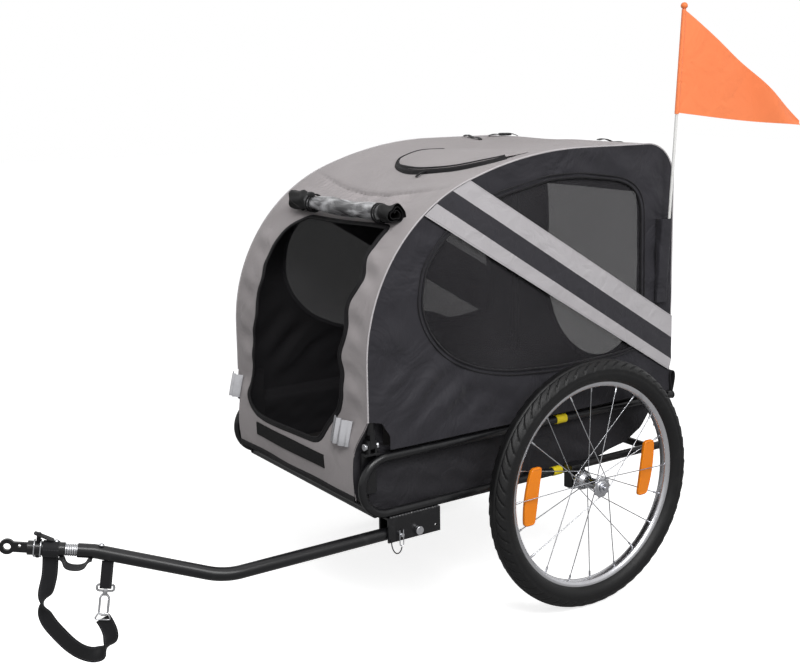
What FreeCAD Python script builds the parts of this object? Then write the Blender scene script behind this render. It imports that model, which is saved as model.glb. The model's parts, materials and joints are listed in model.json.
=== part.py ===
import FreeCAD, Part
import Sketcher
import math
import os
import re
from types import SimpleNamespace
from FreeCAD import Placement, Rotation, Vector

# Dog bike trailer: a two-wheeled cabin of cloth on folding steel side hoops, with a bent tow bar on its
# left side. +X points forward, +Y to the left, +Z up. The ground is z = 0, and the origin lies under the
# middle of the whole length, from the hitch eye to the tip of the safety flag.

os.makedirs("parts", exist_ok=True)
doc = FreeCAD.newDocument("dog_bike_trailer")

SIZES = {
    # Places shared by many pieces
    "axle_x": -258.7,
    "seat_gap": 0.3,
    "running_gap": 0.06,
    "overrun": 5.0,
    # Wheels, 20 inch
    "tyre_radius": 247.0,
    "tyre_width": 46.0,
    "tyre_wall": 4.0,
    "wheel_gap": 63.0,
    "tyre_height": 37.0,
    "rim_seat_drop": 6.5,
    "rim_depth": 16.0,
    "rim_width": 24.0,
    "rim_lip": 2.4,
    "hub_length": 66.0,
    "hub_barrel_radius": 14.0,
    "hub_flange_radius": 21.0,
    "hub_flange_width": 4.5,
    "hub_flange_setback": 1.5,
    "spoke_radius": 0.9,
    "spoke_count": 20,
    "spoke_end_gap": 0.4,
    "reflector_length": 96.0,
    "reflector_width": 30.0,
    "reflector_depth": 9.6,
    "reflector_share": 0.695876,
    "reflector_shift": 6.5,
    # Quick release axles and their sockets
    "axle_radius": 6.3,
    "axle_head_radius": 10.5,
    "axle_head_length": 5.0,
    "axle_bottom_gap": 1.2,
    "button_radius": 4.2,
    "button_length": 4.6,
    "button_proud": 3.4,
    "button_travel": 3.0,
    "socket_length": 34.0,
    "socket_height": 48.0,
    "socket_depth": 25.0,
    "socket_drop": 20.0,
    # Lower frame
    "frame_tube_radius": 8.0,
    "frame_tube_wall": 1.2,
    "frame_outer_y": 257.0,
    "upper_rail_z": 365.0,
    "lower_rail_z": 260.0,
    "loop_front_x": 480.0,
    "loop_rear_x": -288.0,
    "front_cross_x": 448.0,
    "middle_cross_x": 96.0,
    "rear_cross_x": -226.0,
    "band_length": 13.0,
    "band_wall": 1.0,
    "band_x": 30.0,
    # Hinge brackets of the side hoops
    "hinge_z": 390.0,
    "hinge_stagger": 24.0,
    "bracket_width": 30.0,
    "bracket_plate": 4.5,
    "bracket_foot_z": 300.0,
    "bracket_shelf_z": 378.0,
    "bracket_shelf": 4.0,
    "ear_gap_half": 5.1,
    "ear_thickness": 4.0,
    "ear_height": 12.0,
    "ear_in": 8.0,
    "ear_out": 7.5,
    "tang_half": 4.8,
    "tang_width": 15.0,
    "tang_length": 22.0,
    "hinge_bolt_radius": 4.0,
    "bolt_head_radius": 6.5,
    "bolt_head_length": 5.0,
    # Side hoops
    "hoop_inset": 10.0,
    "hoop_front_x": 460.0,
    "hoop_rear_x": -264.7,
    "hoop_top_z": 887.4,
    "shoulder_z": 534.3,
    "shoulder_turn": 69.31,
    "rear_corner": 64.0,
    "roof_flat": 177.4,
    # Cloth
    "cloth": 2.0,
    "panel_bottom_z": 378.0,
    "panel_notch_z": 436.0,
    "panel_notch_x": 46.0,
    "band_low_z": 430.0,
    "front_inset": 29.0,
    "front_bottom_z": 288.0,
    "front_bulge_z": 336.0,
    "front_bulge": 16.0,
    "front_tuck": 5.0,
    "roll_angle": 48.0,
    "door_half": 182.0,
    "door_sill_z": 390.0,
    "door_top_z": 770.0,
    "door_corner": 34.0,
    "mesh_thickness": 0.8,
    "mesh_overlap": 9.0,
    "rear_window_half": 146.0,
    "rear_window_top_z": 842.0,
    "rear_window_low_z": 470.0,
    "rear_tuck_z": 372.0,
    "rear_bottom_x": -106.0,
    "rear_knee_x": -216.0,
    "rear_knee_z": 304.0,
    "rear_tuck_x": -258.0,
    "tub_gap": 0.5,
    "floor_thickness": 5.0,
    "roll_radius": 20.0,
    "roll_half": 187.0,
    "roll_stand": 2.0,
    "sunroof_x": 118.0,
    "sunroof_half_length": 116.0,
    "sunroof_half_width": 170.0,
    # Safety flag
    "pole_x": -247.0,
    "pole_radius": 3.0,
    "pole_bottom_z": 578.0,
    "pole_top_z": 1166.0,
    "pole_lean": 4.0,
    "pocket_bottom_z": 572.0,
    "pocket_top_z": 745.0,
    "pocket_width": 28.0,
    "pocket_wall": 2.0,
    "ball_radius": 7.0,
    "pennant_gap": 1.0,
    "pennant_hoist": 200.0,
    "pennant_droop": 28.0,
    "pennant_length": 311.0,
    "pennant_turn": 10.0,
    "pennant_cloth": 1.0,
    # Tow bar and its receiver
    "tow_radius": 11.5,
    "tow_wall": 1.7,
    "tow_inset": 16.0,
    "tow_z": 218.0,
    "tow_bend_x": 747.0,
    "tow_bend_radius": 120.0,
    "tow_tail": 20.0,
    "tow_bolt_x": 369.0,
    "tow_bolt_radius": 4.0,
    "tow_nut_radius": 8.0,
    "tow_nut_length": 9.0,
    "receiver_rear_x": 318.0,
    "receiver_front_x": 432.0,
    "receiver_bottom_z": 205.0,
    "receiver_wall": 4.0,
    "receiver_side_gap": 0.5,
    "receiver_hole_x": 328.0,
    "receiver_hole_radius": 2.5,
    "lock_pin_x": 407.0,
    "lock_pin_radius": 3.5,
    "lock_pin_proud": 9.0,
    "lock_slot_gap": 0.6,
    "clip_wire": 1.0,
    "clip_length": 30.0,
    "clip_bow": 4.0,
    "lanyard_radius": 1.1,
    # Spring coupling, from the end of the tow bar to the hitch eye
    "coupling_x": 960.0,
    "coupling_y": 149.0,
    "coupling_z": 285.0,
    "eye_x": 1058.0,
    "eye_y": 102.0,
    "eye_z": 300.0,
    "stub_start": 20.0,
    "stub_end": 78.0,
    "spring_depth": 9.0,
    "spring_wire": 1.5,
    "spring_mean_radius": 7.5,
    "spring_pitch": 4.4,
    "spring_flats": 10,
    "eye_bore_radius": 6.0,
    "tongue_radius": 12.5,
    "tongue_thickness": 6.0,
    "tongue_tail": 34.0,
    "tongue_hole": 2.6,
    "tongue_hole_back": 19.0,
    "hitch_pin_at": 62.0,
    "hitch_pin_radius": 3.5,
    "hitch_pin_up": 17.0,
    "hitch_pin_down": 15.3,
    "handle_length": 34.0,
    "handle_width": 13.0,
    "handle_plate": 2.2,
    "handle_height": 9.0,
    "bail_wire": 1.2,
    "bail_side": 9.5,
    "bail_reach": 21.0,
    # Safety strap and its snap hook
    "strap_width": 25.0,
    "strap_thickness": 2.0,
    "tab_back": 49.0,
    "tab_width": 19.0,
    "tab_thickness": 4.0,
    "tab_length": 38.0,
    "tab_hole": 4.4,
    "hook_wire": 2.0,
    "hook_bow": 7.0,
    "hook_length": 22.0,
    "hook_barrel_radius": 4.0,
    "hook_barrel_length": 9.0,
    "gate_gap": 0.3,
    "gate_heel": 0.9,
    "ring_wire": 1.5,
    "ring_half": 13.0,
    "ring_rise": 8.0,
}

sheet = doc.addObject("Spreadsheet::Sheet", "sizes")
for row, (word, value) in enumerate(SIZES.items(), start=1):
    sheet.set(f"A{row}", word)
    sheet.set(f"B{row}", str(value))
    sheet.setAlias(f"B{row}", word)
doc.recompute()
S = SimpleNamespace(**{word: float(sheet.get(word)) for word in SIZES})

# The rim and the reflectors on its spokes, taken from the tyre
RIM_EDGE = "(tyre_radius - tyre_height)"
RIM_SEAT = "(tyre_radius - tyre_height - rim_seat_drop)"
RIM_INNER = "(tyre_radius - tyre_height - rim_depth)"
S.rim_inner_radius = S.tyre_radius - S.tyre_height - S.rim_depth
RAIL_OVER_AXLE = "(lower_rail_z - tyre_radius + socket_drop)"
SOCKET_SHORT = S.socket_height < S.lower_rail_z - S.tyre_radius + S.socket_drop
SOCKET_HIGH = RAIL_OVER_AXLE if SOCKET_SHORT else "socket_height"
S.reflector_reach = S.rim_inner_radius * S.reflector_share

# Places across the trailer, all taken from the outside of the lower frame
S.hoop_y = S.frame_outer_y - S.hoop_inset
S.band_half = S.hoop_y + S.frame_tube_radius
S.low_front_half = S.frame_outer_y - S.front_inset
S.tow_y = S.frame_outer_y - S.tow_inset
S.tub_half = S.frame_outer_y - 2 * S.frame_tube_radius - S.seat_gap - S.bracket_plate - S.tub_gap
WHEEL_Y = "(frame_outer_y + wheel_gap)"
HOOP_Y = "(frame_outer_y - hoop_inset)"
TOW_Y = "(frame_outer_y - tow_inset)"
TUB_HALF = "(frame_outer_y - 2 * frame_tube_radius - seat_gap - bracket_plate - tub_gap)"

SUB_PARTS = []
SIDES = {"left": 1, "right": -1}
ALONG = {"X": Rotation(Vector(0, 1, 0), 90), "Y": Rotation(Vector(1, 0, 0), -90), "Z": Rotation()}
UP = Vector(0, 0, 1)
FROM_AXLE = Placement(Vector(S.axle_x, 0, 0), Rotation())
WIRE_SIDES = 6
WIRE_FACET = 24
TUBE_SIDES = 16
BORE_SIDES = 8


def bind(obj, bindings):
    """Tie properties of an object to the sheet; each word of an expression is the name of a size."""
    for prop, text in bindings.items():
        obj.setExpression(prop, re.sub(r"([a-z]\w+)", r"sizes.\1", text))


def place(obj, x, y, z):
    bind(obj, {"Placement.Base.x": x, "Placement.Base.y": y, "Placement.Base.z": z})


def cylinder(name, radius, length, axis, x, y, z):
    """A round bar that starts at (x, y, z) and runs along one axis of the frame."""
    obj = doc.addObject("Part::Cylinder", name)
    obj.Placement = Placement(Vector(), ALONG[axis])
    bind(obj, {"Radius": radius, "Height": length})
    place(obj, x, y, z)
    return obj


def block(name, length, width, height, x, y, z):
    """A box with its lowest corner at (x, y, z)."""
    obj = doc.addObject("Part::Box", name)
    bind(obj, {"Length": length, "Width": width, "Height": height})
    place(obj, x, y, z)
    return obj


def cut(name, base, tool):
    obj = doc.addObject("Part::Cut", name)
    obj.Base = base
    obj.Tool = tool
    return obj


def fuse(name, members):
    obj = doc.addObject("Part::MultiFuse", name)
    obj.Shapes = members
    return obj


def together(name, members):
    """Separate solids of like pieces in one group."""
    obj = doc.addObject("Part::Compound", name)
    obj.Links = members
    return obj


def sub_part(label, obj):
    obj.Label = label
    SUB_PARTS.append(obj)
    return obj


def shaped(label, shape, placement=None):
    """A sub-part whose form is worked out from the sheet's values, with the axle at x = 0."""
    obj = doc.addObject("Part::Feature", label)
    obj.Shape = shape
    obj.Placement = (placement or FROM_AXLE).multiply(shape.Placement)
    return sub_part(label, obj)


def outline_sketch(body, name, role, points, holes=()):
    """A closed outline of straight lines and round holes, each corner tied to the sheet."""
    sketch = body.newObject("Sketcher::SketchObject", name)
    plane = [item for item in body.Origin.OriginFeatures if item.Role == role][0]
    sketch.AttachmentSupport = (plane, [""])
    sketch.MapMode = "FlatFace"
    values = [Vector(number(across), number(up), 0) for across, up in points]
    count = len(values)
    for i in range(count):
        sketch.addGeometry(Part.LineSegment(values[i], values[(i + 1) % count]), False)
    for i in range(count):
        sketch.addConstraint(Sketcher.Constraint("Coincident", i, 2, (i + 1) % count, 1))
    for i, (across, up) in enumerate(points):
        tie(sketch, "DistanceX", (-1, 1, i, 1), across)
        tie(sketch, "DistanceY", (-1, 1, i, 1), up)
    for k, (across, up, radius) in enumerate(holes):
        centre = Vector(number(across), number(up), 0)
        sketch.addGeometry(Part.Circle(centre, Vector(0, 0, 1), number(radius)), False)
        tie(sketch, "DistanceX", (-1, 1, count + k, 3), across)
        tie(sketch, "DistanceY", (-1, 1, count + k, 3), up)
        tie(sketch, "Radius", (count + k,), radius)
    return sketch


def number(text):
    """The value of an expression of sizes, used as a first guess for a sketch."""
    return float(sheet.evalExpression(text))


def tie(sketch, kind, places, text):
    index = sketch.addConstraint(Sketcher.Constraint(kind, *places, number(text)))
    sketch.setExpression(f"Constraints[{index}]", re.sub(r"([a-z]\w+)", r"sizes.\1", text))


def turned(label, outline, placement):
    """A piece turned about its own Z axis from an outline of (radius, height) corners."""
    body = doc.addObject("PartDesign::Body", label)
    sketch = outline_sketch(body, label + "_outline", "XZ_Plane", outline)
    feature = body.newObject("PartDesign::Revolution", label + "_turning")
    feature.Profile = sketch
    feature.ReferenceAxis = (sketch, ["V_Axis"])
    feature.Angle = 360
    body.Placement = placement
    return sub_part(label, body)


def span(sign, low, high):
    """Start and length, as expressions, of a stretch across the trailer on one side of its mid-plane."""
    start = low if sign > 0 else f"-({high})"
    return start, f"({high}) - ({low})"


def line(a, b):
    return Part.LineSegment(a, b).toShape()


def bent_path(points, bends):
    """Straight runs joined by tangent arcs; bends holds the arc radius at each inner corner."""
    edges = []
    start = points[0]
    for before, corner, after, radius in zip(points, points[1:], points[2:], bends):
        back = (before - corner).normalize()
        ahead = (after - corner).normalize()
        half = back.getAngle(ahead) / 2
        reach = radius / math.tan(half)
        middle = (back + ahead).normalize()
        centre = corner + middle * (radius / math.sin(half))
        first = corner + back * reach
        last = corner + ahead * reach
        edges.append(line(start, first))
        edges.append(Part.Arc(first, centre - middle * radius, last).toShape())
        start = last
    edges.append(line(start, points[-1]))
    return Part.Wire(edges)


def easy_bends(points, share):
    """Bend radii that use the same share of the shorter run at each corner."""
    radii = []
    for before, corner, after in zip(points, points[1:], points[2:]):
        run = min((before - corner).Length, (after - corner).Length)
        half = (corner - before).getAngle(after - corner) / 2
        radii.append(share * run / math.tan(half))
    return radii


def ring_round(start, ahead, radius, sides):
    """Corners of a regular section square to a path."""
    side = ahead.cross(UP if abs(ahead.z) < 0.9 else Vector(0, 1, 0)).normalize()
    return [start + Rotation(ahead, 360 * (i + 0.5) / sides).multVec(side) * radius for i in range(sides)]


def along(path, corners):
    """Solids of one section carried along straight runs and arcs, as pulled and turned pieces."""
    pieces = []
    for edge in path.Edges:
        start = edge.valueAt(edge.FirstParameter)
        face = Part.Face(Part.makePolygon(corners + corners[:1]))
        if isinstance(edge.Curve, Part.Line):
            pull = edge.valueAt(edge.LastParameter) - start
            piece = face.extrude(pull)
            corners = [corner + pull for corner in corners]
        else:
            turn = math.degrees(edge.LastParameter - edge.FirstParameter)
            centre = edge.Curve.Center
            bend = Rotation(edge.Curve.Axis, turn)
            piece = face.revolve(centre, edge.Curve.Axis, turn)
            corners = [centre + bend.multVec(corner - centre) for corner in corners]
        pieces += piece.Solids
    return pieces[0].fuse(pieces[1:]) if len(pieces) > 1 else pieces[0]


def bent_tube(path, radius, wall=0):
    """A bar, or a tube of the given wall, along straight runs and arcs."""
    edge = path.Edges[0]
    start = edge.valueAt(edge.FirstParameter)
    ahead = edge.tangentAt(edge.FirstParameter)
    bar = along(path, ring_round(start, ahead, radius, TUBE_SIDES))
    if wall:
        bar = bar.cut(along(path, ring_round(start, ahead, radius - wall, BORE_SIDES)))
    return bar


def skin(rings):
    """A closed solid of flat facets over rings of corners, one after another."""
    faces = []
    count = len(rings[0])
    for here, there in zip(rings, rings[1:]):
        for k in range(count):
            a, b, c, d = here[k], here[(k + 1) % count], there[(k + 1) % count], there[k]
            faces.append(Part.Face(Part.makePolygon([a, b, c, a])))
            faces.append(Part.Face(Part.makePolygon([a, c, d, a])))
    for ring in (rings[0], rings[-1]):
        faces.append(Part.Face(Part.makePolygon(ring + ring[:1])))
    solid = Part.Solid(Part.Shell(faces))
    if solid.Volume < 0:
        solid.reverse()
    return solid


def wire_along(path, radius):
    """A thin wire along a path, with a section of a few flats and a few short facets round each bend."""
    edge = path.Edges[0]
    start = edge.valueAt(edge.FirstParameter)
    corners = ring_round(start, edge.tangentAt(edge.FirstParameter), radius, WIRE_SIDES)
    rings = [corners]
    for edge in path.Edges:
        if isinstance(edge.Curve, Part.Line):
            pull = edge.valueAt(edge.LastParameter) - edge.valueAt(edge.FirstParameter)
            corners = [corner + pull for corner in corners]
            rings.append(corners)
            continue
        turn = math.degrees(edge.LastParameter - edge.FirstParameter)
        steps = max(math.ceil(turn / WIRE_FACET), 2)
        bend = Rotation(edge.Curve.Axis, turn / steps)
        centre = edge.Curve.Center
        for _ in range(steps):
            corners = [centre + bend.multVec(corner - centre) for corner in corners]
            rings.append(corners)
    return skin(rings)


def swept_band(path, width, thickness, across):
    """A flat strap along a path; across is the direction of its width at the start."""
    edge = path.Edges[0]
    start = edge.valueAt(edge.FirstParameter)
    ahead = edge.tangentAt(edge.FirstParameter)
    flat = ahead.cross(across).normalize()
    half = across * (width / 2)
    rise = flat * (thickness / 2)
    return along(path, [start - half - rise, start + half - rise, start + half + rise, start - half + rise])


def arc(centre, radius, first, last):
    """An arc in the side view from one angle to another, in degrees from +X towards +Z."""
    def at(angle):
        turn = math.radians(angle)
        return centre + Vector(radius * math.cos(turn), 0, radius * math.sin(turn))
    return Part.Arc(at(first), at((first + last) / 2), at(last)).toShape()


# Wheels. Each wheel is drawn about its own Z axis with +Z outward.
TYRE_OUTER_SHARES = [(0.46, 1.0), (0.88, 0.74), (1.0, 0.25)]
TYRE_INNER_SHARES = [(0.62, 1.0)]
BEAD = "(rim_width / 2 - rim_lip - seat_gap)"
BEAD_RADIUS = f"{RIM_SEAT} + seat_gap"
WALL_HEIGHT = "tyre_height"

tyre_outer = [(BEAD_RADIUS, BEAD), (f"{RIM_EDGE} + seat_gap", BEAD)]
for rise_share, side_share in TYRE_OUTER_SHARES:
    tyre_outer.append((f"{RIM_EDGE} + {rise_share} * {WALL_HEIGHT}", f"{side_share} * tyre_width / 2"))
tyre_inner = [(BEAD_RADIUS, f"{BEAD} - tyre_wall")]
for rise_share, side_share in TYRE_INNER_SHARES:
    inner_rise = f"{RIM_EDGE} + {rise_share} * ({WALL_HEIGHT} - tyre_wall)"
    tyre_inner.append((inner_rise, f"{side_share} * (tyre_width / 2 - tyre_wall)"))


def other_side(corners):
    return [(radius, f"-({height})") for radius, height in corners]


TYRE_OUTLINE = other_side(tyre_outer) + tyre_outer[::-1] + tyre_inner + other_side(tyre_inner)[::-1]
RIM_HALF = [
    (RIM_INNER, "rim_width / 2"),
    (RIM_EDGE, "rim_width / 2"),
    (RIM_EDGE, "rim_width / 2 - rim_lip"),
    (RIM_SEAT, "rim_width / 2 - rim_lip"),
]
RIM_OUTLINE = RIM_HALF + other_side(RIM_HALF)[::-1]
HUB_BORE = "axle_radius + running_gap"
FLANGE_END = "(hub_length / 2 - hub_flange_setback)"
HUB_HALF = [
    (HUB_BORE, "hub_length / 2"),
    ("hub_flange_radius", "hub_length / 2"),
    ("hub_flange_radius", f"{FLANGE_END} - hub_flange_width"),
    ("hub_barrel_radius", f"{FLANGE_END} - hub_flange_width"),
]
HUB_OUTLINE = HUB_HALF + other_side(HUB_HALF)[::-1]


def spoke_set():
    """Crossed spokes: even ones reach the outer flange, odd ones the inner, in leading and trailing pairs."""
    flange_z = S.hub_length / 2 - S.hub_flange_setback - S.hub_flange_width / 2
    start_radius = S.hub_flange_radius + S.spoke_radius + S.spoke_end_gap
    end_radius = S.rim_inner_radius - S.spoke_end_gap
    count = int(S.spoke_count)
    step = 2 * math.pi / count
    spokes = []
    for i in range(count):
        outward = 1 if i % 2 == 0 else -1
        leading = 1 if (i // 2) % 2 == 0 else -1
        end_turn = i * step
        start_turn = end_turn + leading * step * 4
        height = outward * flange_z + leading * S.spoke_radius * 1.25
        start = Vector(start_radius * math.cos(start_turn), start_radius * math.sin(start_turn), height)
        end = Vector(end_radius * math.cos(end_turn), end_radius * math.sin(end_turn), 0)
        spokes.append(wire_along(Part.Wire([line(start, end)]), S.spoke_radius))
    return Part.makeCompound(spokes)


def reflector_pair():
    """Two flat reflectors clipped between the spokes, each as far out as its own spokes hold it."""
    plates = []
    for middle in (S.reflector_reach + S.reflector_shift, -S.reflector_reach):
        corner = Vector(middle - S.reflector_width / 2, -S.reflector_length / 2, -S.reflector_depth / 2)
        plate = Part.makeBox(S.reflector_width, S.reflector_length, S.reflector_depth, corner)
        upright = [edge for edge in plate.Edges if abs(edge.tangentAt(edge.FirstParameter).z) > 0.9]
        plates.append(plate.makeFillet(S.reflector_width / 4, upright))
    return Part.makeCompound(plates)


for side, sign in SIDES.items():
    wheel_place = Placement(Vector(S.axle_x, sign * (S.frame_outer_y + S.wheel_gap), S.tyre_radius),
                            Rotation(Vector(1, 0, 0), -90 * sign))
    for piece, outline in (("tyre", TYRE_OUTLINE), ("rim", RIM_OUTLINE), ("hub", HUB_OUTLINE)):
        body = turned(f"{side}_{piece}", outline, wheel_place)
        place(body, "axle_x", f"{sign} * {WHEEL_Y}", "tyre_radius")
    shaped(f"{side}_spokes", spoke_set(), wheel_place)
    shaped(f"{side}_reflectors", reflector_pair(), wheel_place)

# Quick release axles: the shaft runs through the hub into the socket on the frame, and a push button in
# its head frees it.
SOCKET_Y = "frame_outer_y + seat_gap"
HEAD_Y = f"{WHEEL_Y} + hub_length / 2 + seat_gap"
HEAD_END = f"{HEAD_Y} + axle_head_length"
BUTTON_IN = f"{HEAD_END} + button_proud - button_length"
for side, sign in SIDES.items():
    start, length = span(sign, f"{SOCKET_Y} + axle_bottom_gap", HEAD_Y)
    shaft = cylinder(f"{side}_axle_shaft", "axle_radius", length, "Y", "axle_x", start, "tyre_radius")
    start, length = span(sign, HEAD_Y, HEAD_END)
    head = cylinder(f"{side}_axle_head", "axle_head_radius", length, "Y", "axle_x", start, "tyre_radius")
    start, length = span(sign, f"{BUTTON_IN} - button_travel - 2 * seat_gap", f"{HEAD_END} + overrun")
    bore = cylinder(f"{side}_button_bore", "button_radius + running_gap", length, "Y", "axle_x", start,
                    "tyre_radius")
    sub_part(f"{side}_axle", cut(f"{side}_axle", fuse(f"{side}_axle_bar", [shaft, head]), bore))
    start, length = span(sign, BUTTON_IN, f"{HEAD_END} + button_proud")
    sub_part(f"{side}_axle_button", cylinder(f"{side}_axle_button", "button_radius", length, "Y", "axle_x",
                                             start, "tyre_radius"))
    start, length = span(sign, SOCKET_Y, f"{SOCKET_Y} + socket_depth")
    cast = block(f"{side}_socket_block", "socket_length", length, SOCKET_HIGH,
                 "axle_x - socket_length / 2", start, "tyre_radius - socket_drop")
    start, length = span(sign, f"{SOCKET_Y} - overrun", f"{SOCKET_Y} + socket_depth + overrun")
    hole = cylinder(f"{side}_socket_bore", HUB_BORE, length, "Y", "axle_x", start, "tyre_radius")
    sub_part(f"{side}_axle_socket", cut(f"{side}_axle_socket", cast, hole))

# Lower frame: on each side one tube bent into a lying U, joined across by three tubes
FRAME_Y = S.frame_outer_y - S.frame_tube_radius
RAIL_HALF = (S.upper_rail_z - S.lower_rail_z) / 2
BEND_X = S.loop_front_x - RAIL_HALF


def loop_path(y):
    middle = Vector(BEND_X, y, S.lower_rail_z + RAIL_HALF)
    upper = middle + UP * RAIL_HALF
    lower = middle - UP * RAIL_HALF
    upper_end = Vector(S.loop_rear_x, y, S.upper_rail_z)
    lower_end = Vector(S.loop_rear_x, y, S.lower_rail_z)
    return Part.Wire([line(upper_end, upper), arc(middle, RAIL_HALF, 90, -90), line(lower, lower_end)])


for side, sign in SIDES.items():
    path = loop_path(sign * FRAME_Y)
    shaped(f"{side}_frame_loop", bent_tube(path, S.frame_tube_radius, S.frame_tube_wall))

CROSS_HALF = "frame_outer_y - 2 * frame_tube_radius - seat_gap"
cross_tubes = []
for name in ("front", "middle", "rear"):
    outer = cylinder(f"{name}_cross_bar", "frame_tube_radius", f"2 * ({CROSS_HALF})", "Y",
                     f"axle_x + {name}_cross_x", f"-({CROSS_HALF})", "lower_rail_z")
    inner = cylinder(f"{name}_cross_bore", "frame_tube_radius - frame_tube_wall",
                     f"2 * ({CROSS_HALF}) + 2 * overrun", "Y", f"axle_x + {name}_cross_x",
                     f"-({CROSS_HALF}) - overrun", "lower_rail_z")
    cross_tubes.append(cut(f"{name}_cross_tube", outer, inner))
sub_part("cross_tubes", together("cross_tubes", cross_tubes))

bands = []
for side, sign in SIDES.items():
    for rail in ("upper", "lower"):
        middle_y = f"{sign} * (frame_outer_y - frame_tube_radius)"
        where = ("axle_x + band_x - band_length / 2", middle_y, f"{rail}_rail_z")
        outer = cylinder(f"{side}_{rail}_band_skin", "frame_tube_radius + seat_gap + band_wall", "band_length",
                         "X", *where)
        inner = cylinder(f"{side}_{rail}_band_bore", "frame_tube_radius + seat_gap", "band_length", "X", *where)
        bands.append(cut(f"{side}_{rail}_band", outer, inner))
sub_part("rail_bands", together("rail_bands", bands))

# Hinge brackets: a plate inside the frame tube carries a shelf with two ears for each foot of a hoop. The
# right hinge line is higher than the left, so the folded hoops lie on each other.
PLATE_OUT = "frame_outer_y - 2 * frame_tube_radius - seat_gap"
PLATE_IN = f"{PLATE_OUT} - bracket_plate"
HINGE_Z = {"left": "hinge_z", "right": "(hinge_z + hinge_stagger)"}
EAR_OUT = "(ear_gap_half + ear_thickness)"
for side, sign in SIDES.items():
    brackets = []
    bolts = []
    for end in ("front", "rear"):
        name = f"{side}_{end}"
        middle = f"axle_x + hoop_{end}_x"
        left = f"{middle} - bracket_width / 2"
        start, width = span(sign, PLATE_IN, PLATE_OUT)
        plate = block(f"{name}_plate", "bracket_width", width, "bracket_shelf_z - bracket_foot_z", left, start,
                      "bracket_foot_z")
        start, width = span(sign, PLATE_IN, f"{HOOP_Y} + ear_out")
        shelf = block(f"{name}_shelf", "bracket_width", width, "bracket_shelf", left, start,
                      "bracket_shelf_z - bracket_shelf")
        start, width = span(sign, f"{HOOP_Y} - ear_in", f"{HOOP_Y} + ear_out")
        rise = f"{HINGE_Z[side]} + ear_height - bracket_shelf_z + bracket_shelf"
        low = "bracket_shelf_z - bracket_shelf"
        ear_a = block(f"{name}_ear_a", "ear_thickness", width, rise, f"{middle} + ear_gap_half", start, low)
        ear_b = block(f"{name}_ear_b", "ear_thickness", width, rise, f"{middle} - {EAR_OUT}", start, low)
        reach = f"({EAR_OUT} + seat_gap)"
        hinge_y = f"{sign} * {HOOP_Y}"
        hole = cylinder(f"{name}_ear_hole", "hinge_bolt_radius + running_gap", f"2 * {reach}", "X",
                        f"{middle} - {reach}", hinge_y, HINGE_Z[side])
        welded = fuse(f"{name}_welded", [plate, shelf, ear_a, ear_b])
        brackets.append(cut(f"{name}_bracket", welded, hole))
        shank = cylinder(f"{name}_shank", "hinge_bolt_radius", f"2 * {reach}", "X", f"{middle} - {reach}",
                         hinge_y, HINGE_Z[side])
        head = cylinder(f"{name}_head", "bolt_head_radius", "bolt_head_length", "X", f"{middle} + {reach}",
                        hinge_y, HINGE_Z[side])
        nut = cylinder(f"{name}_nut", "bolt_head_radius", "bolt_head_length", "X",
                       f"{middle} - {reach} - bolt_head_length", hinge_y, HINGE_Z[side])
        bolts.append(fuse(f"{name}_bolt", [shank, head, nut]))
    sub_part(f"{side}_hinge_brackets", together(f"{side}_hinge_brackets", brackets))
    sub_part(f"{side}_hinge_bolts", together(f"{side}_hinge_bolts", bolts))

# Side hoops. Two tangent arcs take the tube from the upright front leg to the flat roof; their radii solve
# the width and the rise between those two lines for the given turn of the first arc.
CROWN_X = S.hoop_rear_x + S.rear_corner + S.roof_flat
TURN = math.radians(S.shoulder_turn)
across_run = S.hoop_front_x - CROWN_X
rise_run = S.hoop_top_z - S.shoulder_z
flat_share = 1 - math.cos(TURN)
mixed = flat_share * (1 - math.sin(TURN)) - math.cos(TURN) * math.sin(TURN)
SHOULDER_R = (across_run * (1 - math.sin(TURN)) - rise_run * math.cos(TURN)) / mixed
CROWN_R = (rise_run * flat_share - across_run * math.sin(TURN)) / mixed
SHOULDER_C = Vector(S.hoop_front_x - SHOULDER_R, 0, S.shoulder_z)
CROWN_C = Vector(CROWN_X, 0, S.hoop_top_z - CROWN_R)
CORNER_C = Vector(S.hoop_rear_x + S.rear_corner, 0, S.hoop_top_z - S.rear_corner)


def hoop_edges(offset, first, front_low=None, rear_low=None):
    """The hoop's line, moved outward by an offset, from an angle on the front arc to the rear corner.

    front_low and rear_low add the upright legs down to those heights.
    """
    edges = []
    if front_low is not None:
        x = S.hoop_front_x + offset
        edges.append(line(Vector(x, 0, front_low), Vector(x, 0, S.shoulder_z)))
    edges.append(arc(SHOULDER_C, SHOULDER_R + offset, first, S.shoulder_turn))
    edges.append(arc(CROWN_C, CROWN_R + offset, S.shoulder_turn, 90))
    top = S.hoop_top_z + offset
    edges.append(line(Vector(CROWN_X, 0, top), Vector(CORNER_C.x, 0, top)))
    edges.append(arc(CORNER_C, S.rear_corner + offset, 90, 180))
    if rear_low is not None:
        x = S.hoop_rear_x - offset
        edges.append(line(Vector(x, 0, CORNER_C.z), Vector(x, 0, rear_low)))
    return edges


def hoop_foot(x, pivot_z):
    """A flat tang with a round end, drilled for the hinge bolt, that closes on the tube above it."""
    half = S.tang_width / 2
    corner = Vector(x - S.tang_half, -half, pivot_z)
    tang = Part.makeBox(2 * S.tang_half, S.tang_width, S.tang_length + S.frame_tube_radius, corner)
    round_end = Part.makeCylinder(half, 2 * S.tang_half, Vector(x - S.tang_half, 0, pivot_z), Vector(1, 0, 0))
    hole = Part.makeCylinder(S.hinge_bolt_radius + S.running_gap, 4 * S.tang_half,
                             Vector(x - 2 * S.tang_half, 0, pivot_z), Vector(1, 0, 0))
    return tang.fuse(round_end).cut(hole)


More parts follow.
